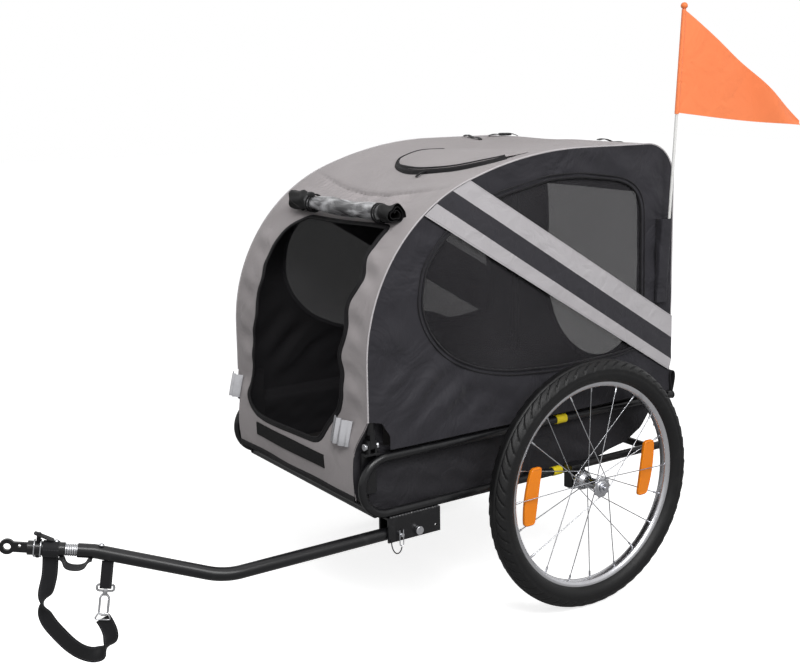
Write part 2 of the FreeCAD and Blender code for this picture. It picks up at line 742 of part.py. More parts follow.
for side, sign in SIDES.items():
    pivot_z = S.hinge_z if sign > 0 else S.hinge_z + S.hinge_stagger
    foot_z = pivot_z + S.tang_length
    path = Part.Wire(hoop_edges(0, 0, foot_z, foot_z))
    tube = bent_tube(path, S.frame_tube_radius, S.frame_tube_wall)
    feet = [hoop_foot(x, pivot_z) for x in (S.hoop_front_x, S.hoop_rear_x)]
    hoop = tube.fuse(feet).removeSplitter()
    hoop.translate(Vector(0, sign * S.hoop_y, 0))
    shaped(f"{side}_hoop", hoop)

# Cloth over the hoops. The band of front, roof and rear lies on the tubes; the side panels close it.
BAND_IN = S.frame_tube_radius + S.seat_gap
BAND_OUT = BAND_IN + S.cloth
FRONT_IN = S.hoop_front_x + BAND_IN
REAR_IN = S.hoop_rear_x - BAND_IN


def sheet_between(inner, outer, half_width):
    """A sheet of cloth across the trailer between two lines of the side view."""
    first_in = inner[0].Vertexes[0].Point
    first_out = outer[0].Vertexes[0].Point
    last_in = inner[-1].Vertexes[-1].Point
    last_out = outer[-1].Vertexes[-1].Point
    edges = inner + outer + [line(first_in, first_out), line(last_in, last_out)]
    face = Part.Face(Part.Wire(Part.__sortEdges__(edges)))
    face.translate(Vector(0, -half_width, 0))
    return face.extrude(Vector(0, 2 * half_width, 0))


def run(points):
    """Straight edges through points given as pairs of x and z."""
    spots = [Vector(x, 0, z) for x, z in points]
    return [line(a, b) for a, b in zip(spots, spots[1:])]


def front_upper(offset):
    x = S.hoop_front_x + offset
    leg = line(Vector(x, 0, S.band_low_z), Vector(x, 0, S.shoulder_z))
    return [leg, arc(SHOULDER_C, SHOULDER_R + offset, 0, S.roll_angle)]


def front_lower(step):
    return run([(FRONT_IN + S.front_tuck + step, S.front_bottom_z),
                (FRONT_IN + S.front_bulge + step, S.front_bulge_z),
                (FRONT_IN + step, S.band_low_z)])


def rear_lower(step):
    slant = step * math.sqrt(0.5)
    bottom_z = S.lower_rail_z + S.frame_tube_radius + S.seat_gap
    return run([(REAR_IN - step, S.band_low_z),
                (S.rear_tuck_x - step, S.rear_tuck_z),
                (S.rear_knee_x - slant, S.rear_knee_z - slant),
                (S.rear_bottom_x - slant, bottom_z + S.cloth - step)])


door = Part.makeBox(2 * SHOULDER_R, 2 * S.door_half, S.door_top_z - S.door_sill_z,
                    Vector(SHOULDER_C.x, -S.door_half, S.door_sill_z))
door_edges = [edge for edge in door.Edges if abs(edge.tangentAt(edge.FirstParameter).x) > 0.9]
door = door.makeFillet(S.door_corner, door_edges)
front = sheet_between(front_upper(BAND_IN), front_upper(BAND_OUT), S.band_half)
front = front.fuse(sheet_between(front_lower(0), front_lower(S.cloth), S.low_front_half))
shaped("front_panel", front.cut(door).removeSplitter())

roof_in = hoop_edges(BAND_IN, S.roll_angle)
roof_out = hoop_edges(BAND_OUT, S.roll_angle)
shaped("roof_panel", sheet_between(roof_in, roof_out, S.band_half))

rear = sheet_between(run([(REAR_IN, CORNER_C.z), (REAR_IN, S.band_low_z)]),
                     run([(REAR_IN - S.cloth, CORNER_C.z), (REAR_IN - S.cloth, S.band_low_z)]), S.band_half)
tub_in = S.tub_half - S.cloth - S.seat_gap
rear = rear.fuse(sheet_between(rear_lower(0), rear_lower(S.cloth), tub_in))
rear_opening = Part.makeBox(2 * S.rear_corner, 2 * S.rear_window_half,
                            S.rear_window_top_z - S.rear_window_low_z - S.rear_corner,
                            Vector(REAR_IN - S.rear_corner, -S.rear_window_half, S.rear_window_low_z))
rear_edges = [edge for edge in rear_opening.Edges if abs(edge.tangentAt(edge.FirstParameter).x) > 0.9]
shaped("rear_panel", rear.cut(rear_opening.makeFillet(S.door_corner, rear_edges)).removeSplitter())
rear_mesh = Part.makeBox(S.mesh_thickness, 2 * (S.rear_window_half + S.mesh_overlap),
                         S.rear_window_top_z - S.rear_window_low_z - S.rear_corner + 2 * S.mesh_overlap,
                         Vector(REAR_IN + S.seat_gap, -S.rear_window_half - S.mesh_overlap,
                                S.rear_window_low_z - S.mesh_overlap))
shaped("rear_window_mesh", rear_mesh)

# Side windows: corners and bow points as shares of the panel's length and height
WINDOW_SHARES = [
    ((0.119, 0.235), (0.119, 0.520), (0.119, 0.803)),
    ((0.119, 0.803), (0.130, 0.843), (0.169, 0.865)),
    ((0.169, 0.865), (0.371, 0.895), (0.545, 0.865)),
    ((0.545, 0.865), (0.762, 0.737), (0.843, 0.520)),
    ((0.843, 0.520), (0.815, 0.348), (0.671, 0.229)),
    ((0.671, 0.229), (0.452, 0.187), (0.232, 0.191)),
    ((0.232, 0.191), (0.190, 0.195), (0.150, 0.203)),
    ((0.150, 0.203), (0.127, 0.214), (0.119, 0.235)),
]
PANEL_REAR = S.hoop_rear_x - BAND_OUT
PANEL_LONG = S.hoop_front_x + BAND_OUT - PANEL_REAR
PANEL_TALL = S.hoop_top_z + BAND_OUT - S.panel_bottom_z


def window_face(grow):
    """The window's outline, grown by a margin about its middle."""
    shares = [share for edge_shares in WINDOW_SHARES for share in edge_shares]
    mid_x = sum(share[0] for share in shares) / len(shares)
    mid_z = sum(share[1] for share in shares) / len(shares)
    wide = max(abs(share[0] - mid_x) for share in shares) * PANEL_LONG
    tall = max(abs(share[1] - mid_z) for share in shares) * PANEL_TALL

    def spot(share):
        x = mid_x + (share[0] - mid_x) * (1 + grow / wide)
        z = mid_z + (share[1] - mid_z) * (1 + grow / tall)
        return Vector(PANEL_REAR + x * PANEL_LONG, 0, S.panel_bottom_z + z * PANEL_TALL)

    edges = []
    for a, b, c in WINDOW_SHARES:
        first, middle, last = spot(a), spot(b), spot(c)
        straight = (middle - first).getAngle(last - middle) < 0.001
        edges.append(line(first, last) if straight else Part.Arc(first, middle, last).toShape())
    return Part.Face(Part.Wire(edges))


panel_edges = hoop_edges(BAND_OUT, 0, S.panel_notch_z, S.panel_bottom_z)
notch_x = S.hoop_front_x + BAND_OUT - S.panel_notch_x
panel_edges += run([(PANEL_REAR, S.panel_bottom_z), (notch_x, S.panel_bottom_z),
                    (S.hoop_front_x + BAND_OUT, S.panel_notch_z)])
panel_face = Part.Face(Part.Wire(Part.__sortEdges__(panel_edges))).cut(window_face(0))
panel_y = S.band_half + S.seat_gap
for side, sign in SIDES.items():
    panel = panel_face.extrude(Vector(0, S.cloth, 0))
    mesh = window_face(S.mesh_overlap).extrude(Vector(0, S.mesh_thickness, 0))
    panel.translate(Vector(0, panel_y if sign > 0 else -panel_y - S.cloth, 0))
    mesh_y = panel_y - S.seat_gap - S.mesh_thickness
    mesh.translate(Vector(0, mesh_y if sign > 0 else -mesh_y - S.mesh_thickness, 0))
    shaped(f"{side}_side_panel", panel)
    shaped(f"{side}_window_mesh", mesh)

# Tub below the hinges: cloth sides inside the frame, a cloth floor on the cross tubes and a floor board
TUB_LOW = S.lower_rail_z + S.frame_tube_radius + S.seat_gap
tub_rise = (S.upper_rail_z - TUB_LOW) / 2
tub_bend = Vector(BEND_X, 0, TUB_LOW + tub_rise)
tub_edges = [arc(tub_bend, tub_rise, -90, 90)]
tub_edges += run([(BEND_X, S.upper_rail_z), (S.rear_tuck_x, S.upper_rail_z), (S.rear_knee_x, S.rear_knee_z),
                  (S.rear_bottom_x, TUB_LOW), (BEND_X, TUB_LOW)])
tub_face = Part.Face(Part.Wire(Part.__sortEdges__(tub_edges)))
for side, sign in SIDES.items():
    wall = tub_face.extrude(Vector(0, S.cloth, 0))
    wall.translate(Vector(0, S.tub_half - S.cloth if sign > 0 else -S.tub_half, 0))
    shaped(f"{side}_tub_side", wall)

FLOOR_HALF = f"({TUB_HALF} - cloth - seat_gap)"
FLOOR_Z = "lower_rail_z + frame_tube_radius + seat_gap"
floor_start = "axle_x + rear_bottom_x + seat_gap"
floor_long = "hoop_front_x - rear_bottom_x - seat_gap"
sub_part("floor_cloth", block("floor_cloth", floor_long, f"2 * {FLOOR_HALF}", "cloth", floor_start,
                              f"-{FLOOR_HALF}", FLOOR_Z))
sub_part("floor_board", block("floor_board", f"{floor_long} - 2 * overrun", f"2 * {FLOOR_HALF} - 2 * overrun",
                              "floor_thickness", f"{floor_start} + overrun", f"overrun - {FLOOR_HALF}",
                              f"{FLOOR_Z} + cloth + seat_gap"))

# Rolled-up door, tied at the top of the door opening
roll_turn = math.radians(S.roll_angle)
roll_out = SHOULDER_R + BAND_OUT + S.roll_stand + S.roll_radius
roll_x = SHOULDER_C.x + roll_out * math.cos(roll_turn)
roll_z = SHOULDER_C.z + roll_out * math.sin(roll_turn)
roll = Part.makeCylinder(S.roll_radius, 2 * S.roll_half, Vector(roll_x, -S.roll_half, roll_z), Vector(0, 1, 0))
tie_width = S.strap_width
ties = []
for sign in SIDES.values():
    tie_start = Vector(roll_x, sign * S.roll_half * 0.6 - tie_width / 2, roll_z)
    ring = Part.makeCylinder(S.roll_radius + S.roll_stand - S.seat_gap, tie_width, tie_start, Vector(0, 1, 0))
    ties.append(ring)
shaped("door_roll", roll.fuse(ties))

# Sunroof: an oval flap over the front slope of the roof, closed by a zip
flap = sheet_between(hoop_edges(BAND_OUT + S.seat_gap, S.roll_angle),
                     hoop_edges(BAND_OUT + S.seat_gap + S.cloth, S.roll_angle), S.sunroof_half_width)
oval = Part.Ellipse(Vector(S.sunroof_x, 0, 0), max(S.sunroof_half_length, S.sunroof_half_width),
                    min(S.sunroof_half_length, S.sunroof_half_width))
oval_face = Part.Face(Part.Wire([oval.toShape()]))
if S.sunroof_half_width > S.sunroof_half_length:
    oval_face.rotate(Vector(S.sunroof_x, 0, 0), UP, 90)
shaped("sunroof_flap", flap.common(oval_face.extrude(UP * (2 * S.hoop_top_z))))

# Safety flag: a leaning pole in a pocket on the left rear corner, with a ball and a pennant
lean = Rotation(Vector(1, 0, 0), -S.pole_lean)
pole_up = lean.multVec(UP)
pocket_back = S.band_half + 2 * S.seat_gap + S.cloth
pole_y = pocket_back + S.pocket_wall + S.seat_gap + S.pole_radius
pole_foot = Vector(S.pole_x, pole_y, S.pole_bottom_z)


def on_pole(z):
    return pole_foot + pole_up * ((z - S.pole_bottom_z) / pole_up.z)


pole_length = (S.pole_top_z - S.pole_bottom_z) / pole_up.z
pennant_top_z = S.pole_top_z - S.ball_radius - S.pennant_gap
pennant_low_z = pennant_top_z - S.pennant_hoist
pole = doc.addObject("Part::Cylinder", "flag_pole")
bind(pole, {"Radius": "pole_radius"})
pole.Height = pole_length
pole.Placement = Placement(pole_foot + Vector(S.axle_x, 0, 0), lean)
sub_part("flag_pole", pole)

bore = Part.makeCylinder(S.pole_radius + S.seat_gap, 2 * pole_length, pole_foot - pole_up * S.seat_gap, pole_up)
front_reach = S.pole_radius + S.seat_gap + S.pocket_wall
pocket_low = on_pole(S.pocket_bottom_z).y + front_reach
pocket_high = on_pole(S.pocket_top_z).y + front_reach
pocket_side = S.pole_x - front_reach
pocket_spots = [Vector(pocket_side, pocket_back, S.pocket_bottom_z),
                Vector(pocket_side, pocket_low, S.pocket_bottom_z),
                Vector(pocket_side, pocket_high, S.pocket_top_z),
                Vector(pocket_side, pocket_back, S.pocket_top_z)]
pocket = Part.Face(Part.makePolygon(pocket_spots + pocket_spots[:1])).extrude(Vector(S.pocket_width, 0, 0))
shaped("flag_pocket", pocket.cut(bore))

# The ball is turned from a few flats, with a blind bore for the end of the pole.
BALL_BORE = "pole_radius + running_gap"
BALL_OUTLINE = [(BALL_BORE, "-0.88 * ball_radius"), ("0.8 * ball_radius", "-0.6 * ball_radius"),
                ("ball_radius", "0"), ("0.71 * ball_radius", "0.71 * ball_radius"), ("0", "ball_radius"),
                ("0", "seat_gap"), (BALL_BORE, "seat_gap")]
turned("flag_ball", BALL_OUTLINE, Placement(on_pole(S.pole_top_z) + Vector(S.axle_x, 0, 0), lean))

pennant_turn = math.radians(S.pennant_turn)
fly = Vector(-math.cos(pennant_turn), math.sin(pennant_turn), 0)
sleeve_radius = S.pole_radius + S.running_gap + S.pennant_cloth
hoist_in = S.pole_radius + S.running_gap + S.pennant_cloth / 2
hoist_top = on_pole(pennant_top_z) + fly * hoist_in
hoist_low = on_pole(pennant_low_z) + fly * hoist_in
tip = on_pole(pennant_low_z) + fly * S.pennant_length
tip.z = pennant_low_z - S.pennant_droop
normal = (hoist_low - hoist_top).cross(tip - hoist_top).normalize()
cloth_face = Part.Face(Part.makePolygon([hoist_top, hoist_low, tip, hoist_top]))
cloth_face.translate(normal * (-S.pennant_cloth / 2))
pennant = cloth_face.extrude(normal * S.pennant_cloth)
sleeve_long = (pennant_top_z - pennant_low_z) / pole_up.z
sleeve_foot = on_pole(pennant_low_z)
pennant = pennant.fuse(Part.makeCylinder(sleeve_radius, sleeve_long, sleeve_foot, pole_up))
pennant = pennant.cut(Part.makeCylinder(S.pole_radius + S.running_gap, 2 * sleeve_long,
                                        sleeve_foot - pole_up * (sleeve_long / 2), pole_up))
shaped("flag_pennant", pennant)

# Receiver of the tow bar: a channel open below and at both ends, welded under the left lower rail
CHEEK = "(tow_radius + receiver_side_gap)"
OUTER = f"({CHEEK} + receiver_wall)"
RECEIVER_TOP = "(lower_rail_z - frame_tube_radius - seat_gap)"
channel = block("receiver_bar", "receiver_front_x - receiver_rear_x", f"2 * {OUTER}",
                f"{RECEIVER_TOP} - receiver_bottom_z", "axle_x + receiver_rear_x", f"{TOW_Y} - {OUTER}",
                "receiver_bottom_z")
hollow = block("receiver_hollow", "receiver_front_x - receiver_rear_x + 2 * overrun", f"2 * {CHEEK}",
               f"{RECEIVER_TOP} - receiver_wall - receiver_bottom_z + overrun",
               "axle_x + receiver_rear_x - overrun", f"{TOW_Y} - {CHEEK}", "receiver_bottom_z - overrun")
holes = []
for name, x, radius in (("bolt", "tow_bolt_x", "tow_bolt_radius + running_gap"),
                        ("lock", "lock_pin_x", "lock_pin_radius + running_gap"),
                        ("spare", "receiver_hole_x", "receiver_hole_radius")):
    holes.append(cylinder(f"receiver_{name}_hole", radius, f"2 * {OUTER} + 2 * overrun", "Y", f"axle_x + {x}",
                          f"{TOW_Y} - {OUTER} - overrun", "tow_z"))
receiver_tools = fuse("receiver_tools", [hollow] + holes)
sub_part("tow_bar_receiver", cut("tow_bar_receiver", channel, receiver_tools))

bolt_x = "axle_x + tow_bolt_x"
shank = cylinder("tow_bolt_shank", "tow_bolt_radius", f"2 * {OUTER} + 2 * seat_gap", "Y", bolt_x,
                 f"{TOW_Y} - {OUTER} - seat_gap", "tow_z")
nut = cylinder("tow_bolt_nut", "tow_nut_radius", "tow_nut_length", "Y", bolt_x, f"{TOW_Y} + {OUTER} + seat_gap",
               "tow_z")
head = cylinder("tow_bolt_head", "bolt_head_radius", "bolt_head_length", "Y", bolt_x,
                f"{TOW_Y} - {OUTER} - seat_gap - bolt_head_length", "tow_z")
sub_part("tow_bar_bolt", fuse("tow_bar_bolt", [shank, nut, head]))

# Locking pin across the receiver, with a spring clip on its outer end
cheek_out = S.tow_radius + S.receiver_side_gap + S.receiver_wall
pin_start = Vector(S.lock_pin_x, S.tow_y - cheek_out - S.seat_gap, S.tow_z)
pin_long = 2 * cheek_out + S.seat_gap + S.lock_pin_proud
lock_pin = Part.makeCylinder(S.lock_pin_radius, pin_long, pin_start, Vector(0, 1, 0))
clip_half = S.lock_pin_radius + S.clip_wire / 2
clip_y = pin_start.y + pin_long - S.clip_bow
clip_low = S.tow_z - S.clip_length * 0.7
clip_high = S.tow_z + S.clip_length * 0.3
clip_spots = [Vector(S.lock_pin_x - clip_half, clip_y, clip_high),
              Vector(S.lock_pin_x - clip_half, clip_y, clip_low),
              Vector(S.lock_pin_x + clip_half, clip_y, clip_low),
              Vector(S.lock_pin_x + clip_half, clip_y, clip_high)]
clip = wire_along(bent_path(clip_spots, [clip_half * 0.98, clip_half * 0.98]), S.clip_wire)
shaped("locking_pin", lock_pin.fuse(clip))

# Thin cord that keeps the clip on the receiver
cheek_y = S.tow_y + cheek_out + S.seat_gap + S.lanyard_radius
cord_drop = S.clip_length * 0.5
cord_spots = [Vector(S.receiver_front_x - S.overrun, cheek_y, S.receiver_bottom_z + S.overrun),
              Vector(S.receiver_front_x - S.overrun, cheek_y, S.receiver_bottom_z - cord_drop * 0.5),
              Vector(S.lock_pin_x + clip_half * 3, (cheek_y + clip_y) / 2, S.receiver_bottom_z - cord_drop * 1.5),
              Vector(S.lock_pin_x + clip_half * 0.5, clip_y, S.receiver_bottom_z - cord_drop * 1.3),
              Vector(S.lock_pin_x, clip_y, clip_low - S.clip_wire - S.lanyard_radius - S.seat_gap)]
cord_bends = easy_bends(cord_spots, 0.45)
print("pin lanyard bend radii", [round(radius, 1) for radius in cord_bends])
shaped("pin_lanyard", wire_along(bent_path(cord_spots, cord_bends), S.lanyard_radius))

# Spring coupling. Its own frame starts at the end of the tow bar: +X runs to the hitch eye, +Z up.
coupling = Vector(S.coupling_x, S.coupling_y, S.coupling_z)
to_eye = Vector(S.eye_x, S.eye_y, S.eye_z) - coupling
eye_at = to_eye.Length
ahead = to_eye.normalize()
upright = (UP - ahead * UP.dot(ahead)).normalize()
outward = upright.cross(ahead)
COUPLING = Placement(coupling + Vector(S.axle_x, 0, 0), Rotation(ahead, outward, upright, "XZY"))
SIDEWAYS = Vector(0, 1, 0)
FORWARD = Vector(1, 0, 0)

# Tow bar: level beside the receiver, then bent inward and up to the coupling
neck = 3 * S.spring_depth
bar_spots = [Vector(S.tow_bolt_x - S.tow_tail, S.tow_y, S.tow_z), Vector(S.tow_bend_x, S.tow_y, S.tow_z),
             coupling - ahead * neck, coupling]
bar_path = bent_path(bar_spots, [S.tow_bend_radius, S.tow_bend_radius])
bore_radius = S.tow_radius - S.tow_wall
bar = bent_tube(bar_path, S.tow_radius, S.tow_wall)
plug = Part.makeCylinder(bore_radius + S.tow_wall / 2, S.tow_wall * 3,
                         coupling - ahead * (S.spring_depth + S.tow_wall * 3), ahead)
bolt_hole = Part.makeCylinder(S.tow_bolt_radius + S.running_gap, 4 * S.tow_radius,
                              Vector(S.tow_bolt_x, S.tow_y - 2 * S.tow_radius, S.tow_z), SIDEWAYS)
slot_front = S.lock_pin_radius + S.lock_slot_gap
slot = Part.makeBox(2 * slot_front + S.lock_pin_radius, 4 * S.tow_radius, 2 * S.tow_radius,
                    Vector(S.lock_pin_x - slot_front - S.lock_pin_radius, S.tow_y - 2 * S.tow_radius,
                           S.tow_z - slot_front))
shaped("tow_bar", bar.fuse(plug).cut(bolt_hole).cut(slot))

# Stub tube in front of the spring, bored for it at the rear and for the tongue's shank at the front
stub = Part.makeCylinder(S.tow_radius, S.stub_end - S.stub_start, Vector(S.stub_start, 0, 0), FORWARD)
stub = stub.cut(Part.makeCylinder(bore_radius, S.spring_depth, Vector(S.stub_start, 0, 0), FORWARD))
tongue_back = S.stub_end - S.tongue_tail
tail_half = S.tow_radius * 0.7
half_thick = S.tongue_thickness / 2
stub = stub.cut(Part.makeCylinder(tail_half + S.seat_gap, S.tongue_tail + S.overrun,
                                  Vector(tongue_back - S.seat_gap, 0, 0), FORWARD))
pin_bore = Part.makeCylinder(S.hitch_pin_radius + S.running_gap, 4 * S.tow_radius,
                             Vector(S.hitch_pin_at, 0, -2 * S.tow_radius), UP)
shaped("coupler_stub", stub.cut(pin_bore), COUPLING)

# Tongue of the axle hitch: a round shank in the stub, and a plate with the eye for the bicycle's rear axle
tongue = Part.makeCylinder(tail_half, S.tongue_tail, Vector(tongue_back, 0, 0), FORWARD)
tongue = tongue.fuse(Part.makeBox(eye_at - S.stub_end, S.tongue_thickness, 2 * tail_half,
                                  Vector(S.stub_end, -half_thick, -tail_half)))
tongue = tongue.fuse(Part.makeCylinder(S.tongue_radius, S.tongue_thickness, Vector(eye_at, -half_thick, 0),
                                       SIDEWAYS))
tongue = tongue.cut(Part.makeCylinder(S.eye_bore_radius, 3 * S.tongue_thickness,
                                      Vector(eye_at, -S.tongue_thickness, 0), SIDEWAYS))
tongue = tongue.cut(Part.makeCylinder(S.tongue_hole, 3 * S.tongue_thickness,
                                      Vector(eye_at - S.tongue_hole_back, -S.tongue_thickness, tail_half / 3),
                                      SIDEWAYS))
shaped("hitch_tongue", tongue.cut(pin_bore), COUPLING)

# Hitch pin with a flat handle, and the wire bail that snaps round its lower end
pin = Part.makeCylinder(S.hitch_pin_radius, S.hitch_pin_up + S.handle_height + S.hitch_pin_down,
                        Vector(S.hitch_pin_at, 0, -S.hitch_pin_down), UP)
handle = Part.makeBox(S.handle_length, S.handle_width, S.handle_plate,
                      Vector(-S.handle_length * 0.74, -S.handle_width / 2, 0))
handle_edges = [edge for edge in handle.Edges if abs(edge.tangentAt(edge.FirstParameter).z) > 0.9]
handle = handle.makeFillet(S.handle_width / 3, handle_edges)
handle.rotate(Vector(), SIDEWAYS, -math.degrees(math.atan2(S.handle_height, S.handle_length * 0.74)))
handle.translate(Vector(S.hitch_pin_at, 0, S.hitch_pin_up + S.handle_height - 2 * S.handle_plate))
shaped("hitch_pin", pin.fuse(handle), COUPLING)

bail_gap = S.hitch_pin_radius + S.bail_wire + S.seat_gap
bail_out = S.tow_radius + S.bail_wire + S.seat_gap * 4
bail_low = -S.hitch_pin_down - S.bail_wire / 2
bail_high = S.hitch_pin_up
bail_half = [Vector(bail_gap, S.bail_side / 2, bail_high), Vector(bail_gap, bail_out, bail_high * 0.55),
             Vector(bail_gap, bail_out, -S.hitch_pin_down * 0.55), Vector(bail_gap, -bail_gap, bail_low)]
bail_spots = bail_half + [Vector(-spot.x, spot.y, spot.z) for spot in bail_half[::-1]]
bail_bends = [radius * 0.9 for radius in easy_bends(bail_spots, 0.3)]
bail_bends = [max(min(radius, 2 * bail_gap), S.bail_wire * 1.2) for radius in bail_bends]
bail_bends[2] = bail_bends[3] = bail_gap * 0.9
bail = wire_along(bent_path([spot + Vector(S.hitch_pin_at, 0, 0) for spot in bail_spots], bail_bends), S.bail_wire)
shaped("hitch_bail", bail, COUPLING)


# Spring: one wire wound between the two tubes, its ends running straight into the plugs
def coil_point(turn, x):
    return Vector(x, S.spring_mean_radius * math.cos(turn), S.spring_mean_radius * math.sin(turn))


spring_start = S.seat_gap - S.spring_depth
spring_end = S.stub_start + S.spring_depth - S.seat_gap
lead = 2 * S.spring_wire
coil_long = spring_end - spring_start - 4 * lead
flats = round(S.spring_flats * coil_long / S.spring_pitch)
flat_turn = 2 * math.pi / S.spring_flats
coil_x = spring_start + 2 * lead
spring_spots = [coil_point(-flat_turn, spring_start), coil_point(-flat_turn, spring_start + lead)]
spring_spots += [coil_point(i * flat_turn, coil_x + coil_long * i / flats) for i in range(flats + 1)]
last_turn = (flats + 1) * flat_turn
spring_spots += [coil_point(last_turn, spring_end - lead), coil_point(last_turn, spring_end)]
sections = []
for i, spot in enumerate(spring_spots):
    before = spring_spots[max(i - 1, 0)]
    after = spring_spots[min(i + 1, len(spring_spots) - 1)]
    way = (after - before).normalize()
    out = (spot - FORWARD * spot.x).normalize()
    out = (out - way * out.dot(way)).normalize()
    turns = [Rotation(way, 360 * k / WIRE_SIDES) for k in range(WIRE_SIDES)]
    sections.append([spot + turn.multVec(out) * S.spring_wire for turn in turns])
shaped("coupler_spring", skin(sections), COUPLING)

# Webbing tab under the tow bar, with the snap hook's eye through its loop
drop = ahead.getAngle(bar_spots[2] - bar_spots[1])
bar_under = -S.tow_radius / math.cos(drop) - (S.tab_back - neck) * math.tan(drop) - 2 * S.seat_gap
tab_low = bar_under - S.tab_length
tab_x = -S.tab_back - S.tab_width / 2
tab = Part.makeBox(S.tab_width, S.tab_thickness, S.tab_length - 2 * S.seat_gap,
                   Vector(tab_x, -S.tab_thickness / 2, tab_low))
loop_radius = S.tab_hole + S.tab_thickness / 2
tab = tab.fuse(Part.makeCylinder(loop_radius, S.tab_width, Vector(tab_x, 0, tab_low), FORWARD))
tab = tab.cut(Part.makeCylinder(S.tab_hole, 3 * S.tab_width, Vector(tab_x - S.tab_width, 0, tab_low), FORWARD))
shaped("hook_tab", tab, COUPLING)

# Snap hook: an oval eye, a swivel barrel and an open bow closed by a sprung gate
eye_half = S.tab_width / 2 + 2 * S.hook_wire + S.seat_gap
eye_top = tab_low + S.hook_wire + S.seat_gap - S.tab_hole
eye_low = eye_top - loop_radius - 2 * S.hook_wire - S.seat_gap
hook_x = -S.tab_back
split = S.gate_gap / 2
eye_spots = [Vector(-split, 0, eye_low), Vector(-eye_half, 0, eye_low), Vector(-eye_half, 0, eye_top),
             Vector(eye_half, 0, eye_top), Vector(eye_half, 0, eye_low), Vector(split, 0, eye_low)]
eye_bend = (eye_top - eye_low) * 0.4
hook_eye = wire_along(bent_path(eye_spots, [eye_bend] * 4), S.hook_wire)
barrel_top = eye_low + S.hook_wire
barrel = Part.makeCylinder(S.hook_barrel_radius, S.hook_barrel_length,
                           Vector(0, 0, barrel_top - S.hook_barrel_length), UP)
bow_top = barrel_top - S.hook_barrel_length - S.hook_wire / 2
upper_c = Vector(0, 0, bow_top - S.hook_bow + S.hook_wire)
lower_c = upper_c - UP * S.hook_length
bow_edges = [arc(lower_c, S.hook_bow, 180, 360), line(lower_c + FORWARD * S.hook_bow, upper_c + FORWARD * S.hook_bow),
             arc(upper_c, S.hook_bow, 0, 180)]
hook = hook_eye.fuse([barrel, wire_along(Part.Wire(bow_edges), S.hook_wire)])
hook.translate(FORWARD * hook_x)
shaped("snap_hook", hook, COUPLING)
gate = Part.makeCylinder(S.hook_wire, S.hook_length - S.gate_gap - S.gate_heel,
                         lower_c + Vector(hook_x - S.hook_bow, 0, S.gate_gap), UP)
shaped("hook_gate", gate, COUPLING)

# Ring at the end of the safety strap, held in the hook's bow
ring_y = S.hook_wire + S.ring_wire + S.seat_gap
ring_top = lower_c.z - S.hook_bow + S.hook_wire + 2 * S.ring_wire
ring_low = ring_top - S.ring_rise - 2 * S.ring_wire
ring_spots = [Vector(split, 0, ring_low), Vector(S.ring_half, 0, ring_low),
              Vector(S.ring_half * 0.6, 0, ring_top), Vector(-S.ring_half * 0.6, 0, ring_top),
              Vector(-S.ring_half, 0, ring_low), Vector(-split, 0, ring_low)]
ring = wire_along(bent_path(ring_spots, easy_bends(ring_spots, 0.3)), S.ring_wire)
ring.translate(Vector(hook_x, ring_y, 0))
shaped("strap_ring", ring, COUPLING)

# Safety strap: from under the stub it hangs in a wide bow and comes up to the ring. Its route is given as
# shares of the distance from the ring to the strap's foot and of its drop.
strap_foot = S.stub_start + (S.stub_end - S.stub_start) * 0.37
strap_drop = S.eye_z * 0.56
STRAP_SHARES = [(0.0, -0.072), (-0.02, -0.226), (0.01, -0.369), (0.075, -0.56), (-0.02, -0.72), (-0.27, -0.866),
                (-0.52, -0.99), (-0.76, -1.055), (-0.98, -1.06), (-1.13, -0.99), (-1.19, -0.87),
                (-1.10, -0.745)]
strap_reach = strap_foot - hook_x
strap_y = ring_y - S.ring_wire - S.seat_gap - S.strap_thickness / 2
strap_spots = [Vector(strap_foot + share[0] * strap_reach, strap_y, share[1] * strap_drop)
               for share in STRAP_SHARES]
strap_spots.append(Vector(hook_x, strap_y, ring_low + S.ring_wire))
strap_spots[0].z = -S.tow_radius - 5 * S.seat_gap
strap_bends = easy_bends(strap_spots, 0.45)
print("safety strap bend radii", [round(radius, 1) for radius in strap_bends])
strap_path = bent_path(strap_spots, strap_bends)
print("safety strap length", round(strap_path.Length, 1))
strap_across = (strap_spots[1] - strap_spots[0]).normalize().cross(SIDEWAYS)
shaped("safety_strap", swept_band(strap_path, S.strap_width, S.strap_thickness, strap_across), COUPLING)

# Short strap that bridges the spring below, from the tow bar to the stub
under = -S.tow_radius - S.seat_gap - S.strap_thickness / 2
slack = S.tow_radius * 1.5
bridge_spots = [Vector(S.stub_start * 1.4, 0, under), Vector(S.stub_start * 1.1, 0, under),
                Vector(S.stub_start * 0.85, 0, under - slack), Vector(-S.stub_start * 0.6, 0, under - slack),
                Vector(-S.stub_start * 0.95, 0, under), Vector(-neck * 0.9, 0, under)]
bridge_bends = easy_bends(bridge_spots, 0.45)
print("bridge strap bend radii", [round(radius, 1) for radius in bridge_bends])
bridge = swept_band(bent_path(bridge_spots, bridge_bends), S.strap_width, S.strap_thickness, SIDEWAYS)
shaped("bridge_strap", bridge, COUPLING)

doc.recompute()

for obj in doc.Objects:
    if "Invalid" in obj.State or "Error" in obj.State:
        raise RuntimeError(f"{obj.Label} is in a bad state")
for obj in SUB_PARTS:
    if obj.Shape.isNull() or not obj.Shape.isValid():
        raise RuntimeError(f"{obj.Label} has no valid shape")
    obj.Shape.exportStep(os.path.join("parts", obj.Label + ".step"))
print(len(SUB_PARTS), "sub-parts")
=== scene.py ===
import json

import bmesh
import bpy
import numpy as np
from mathutils import Matrix, Vector


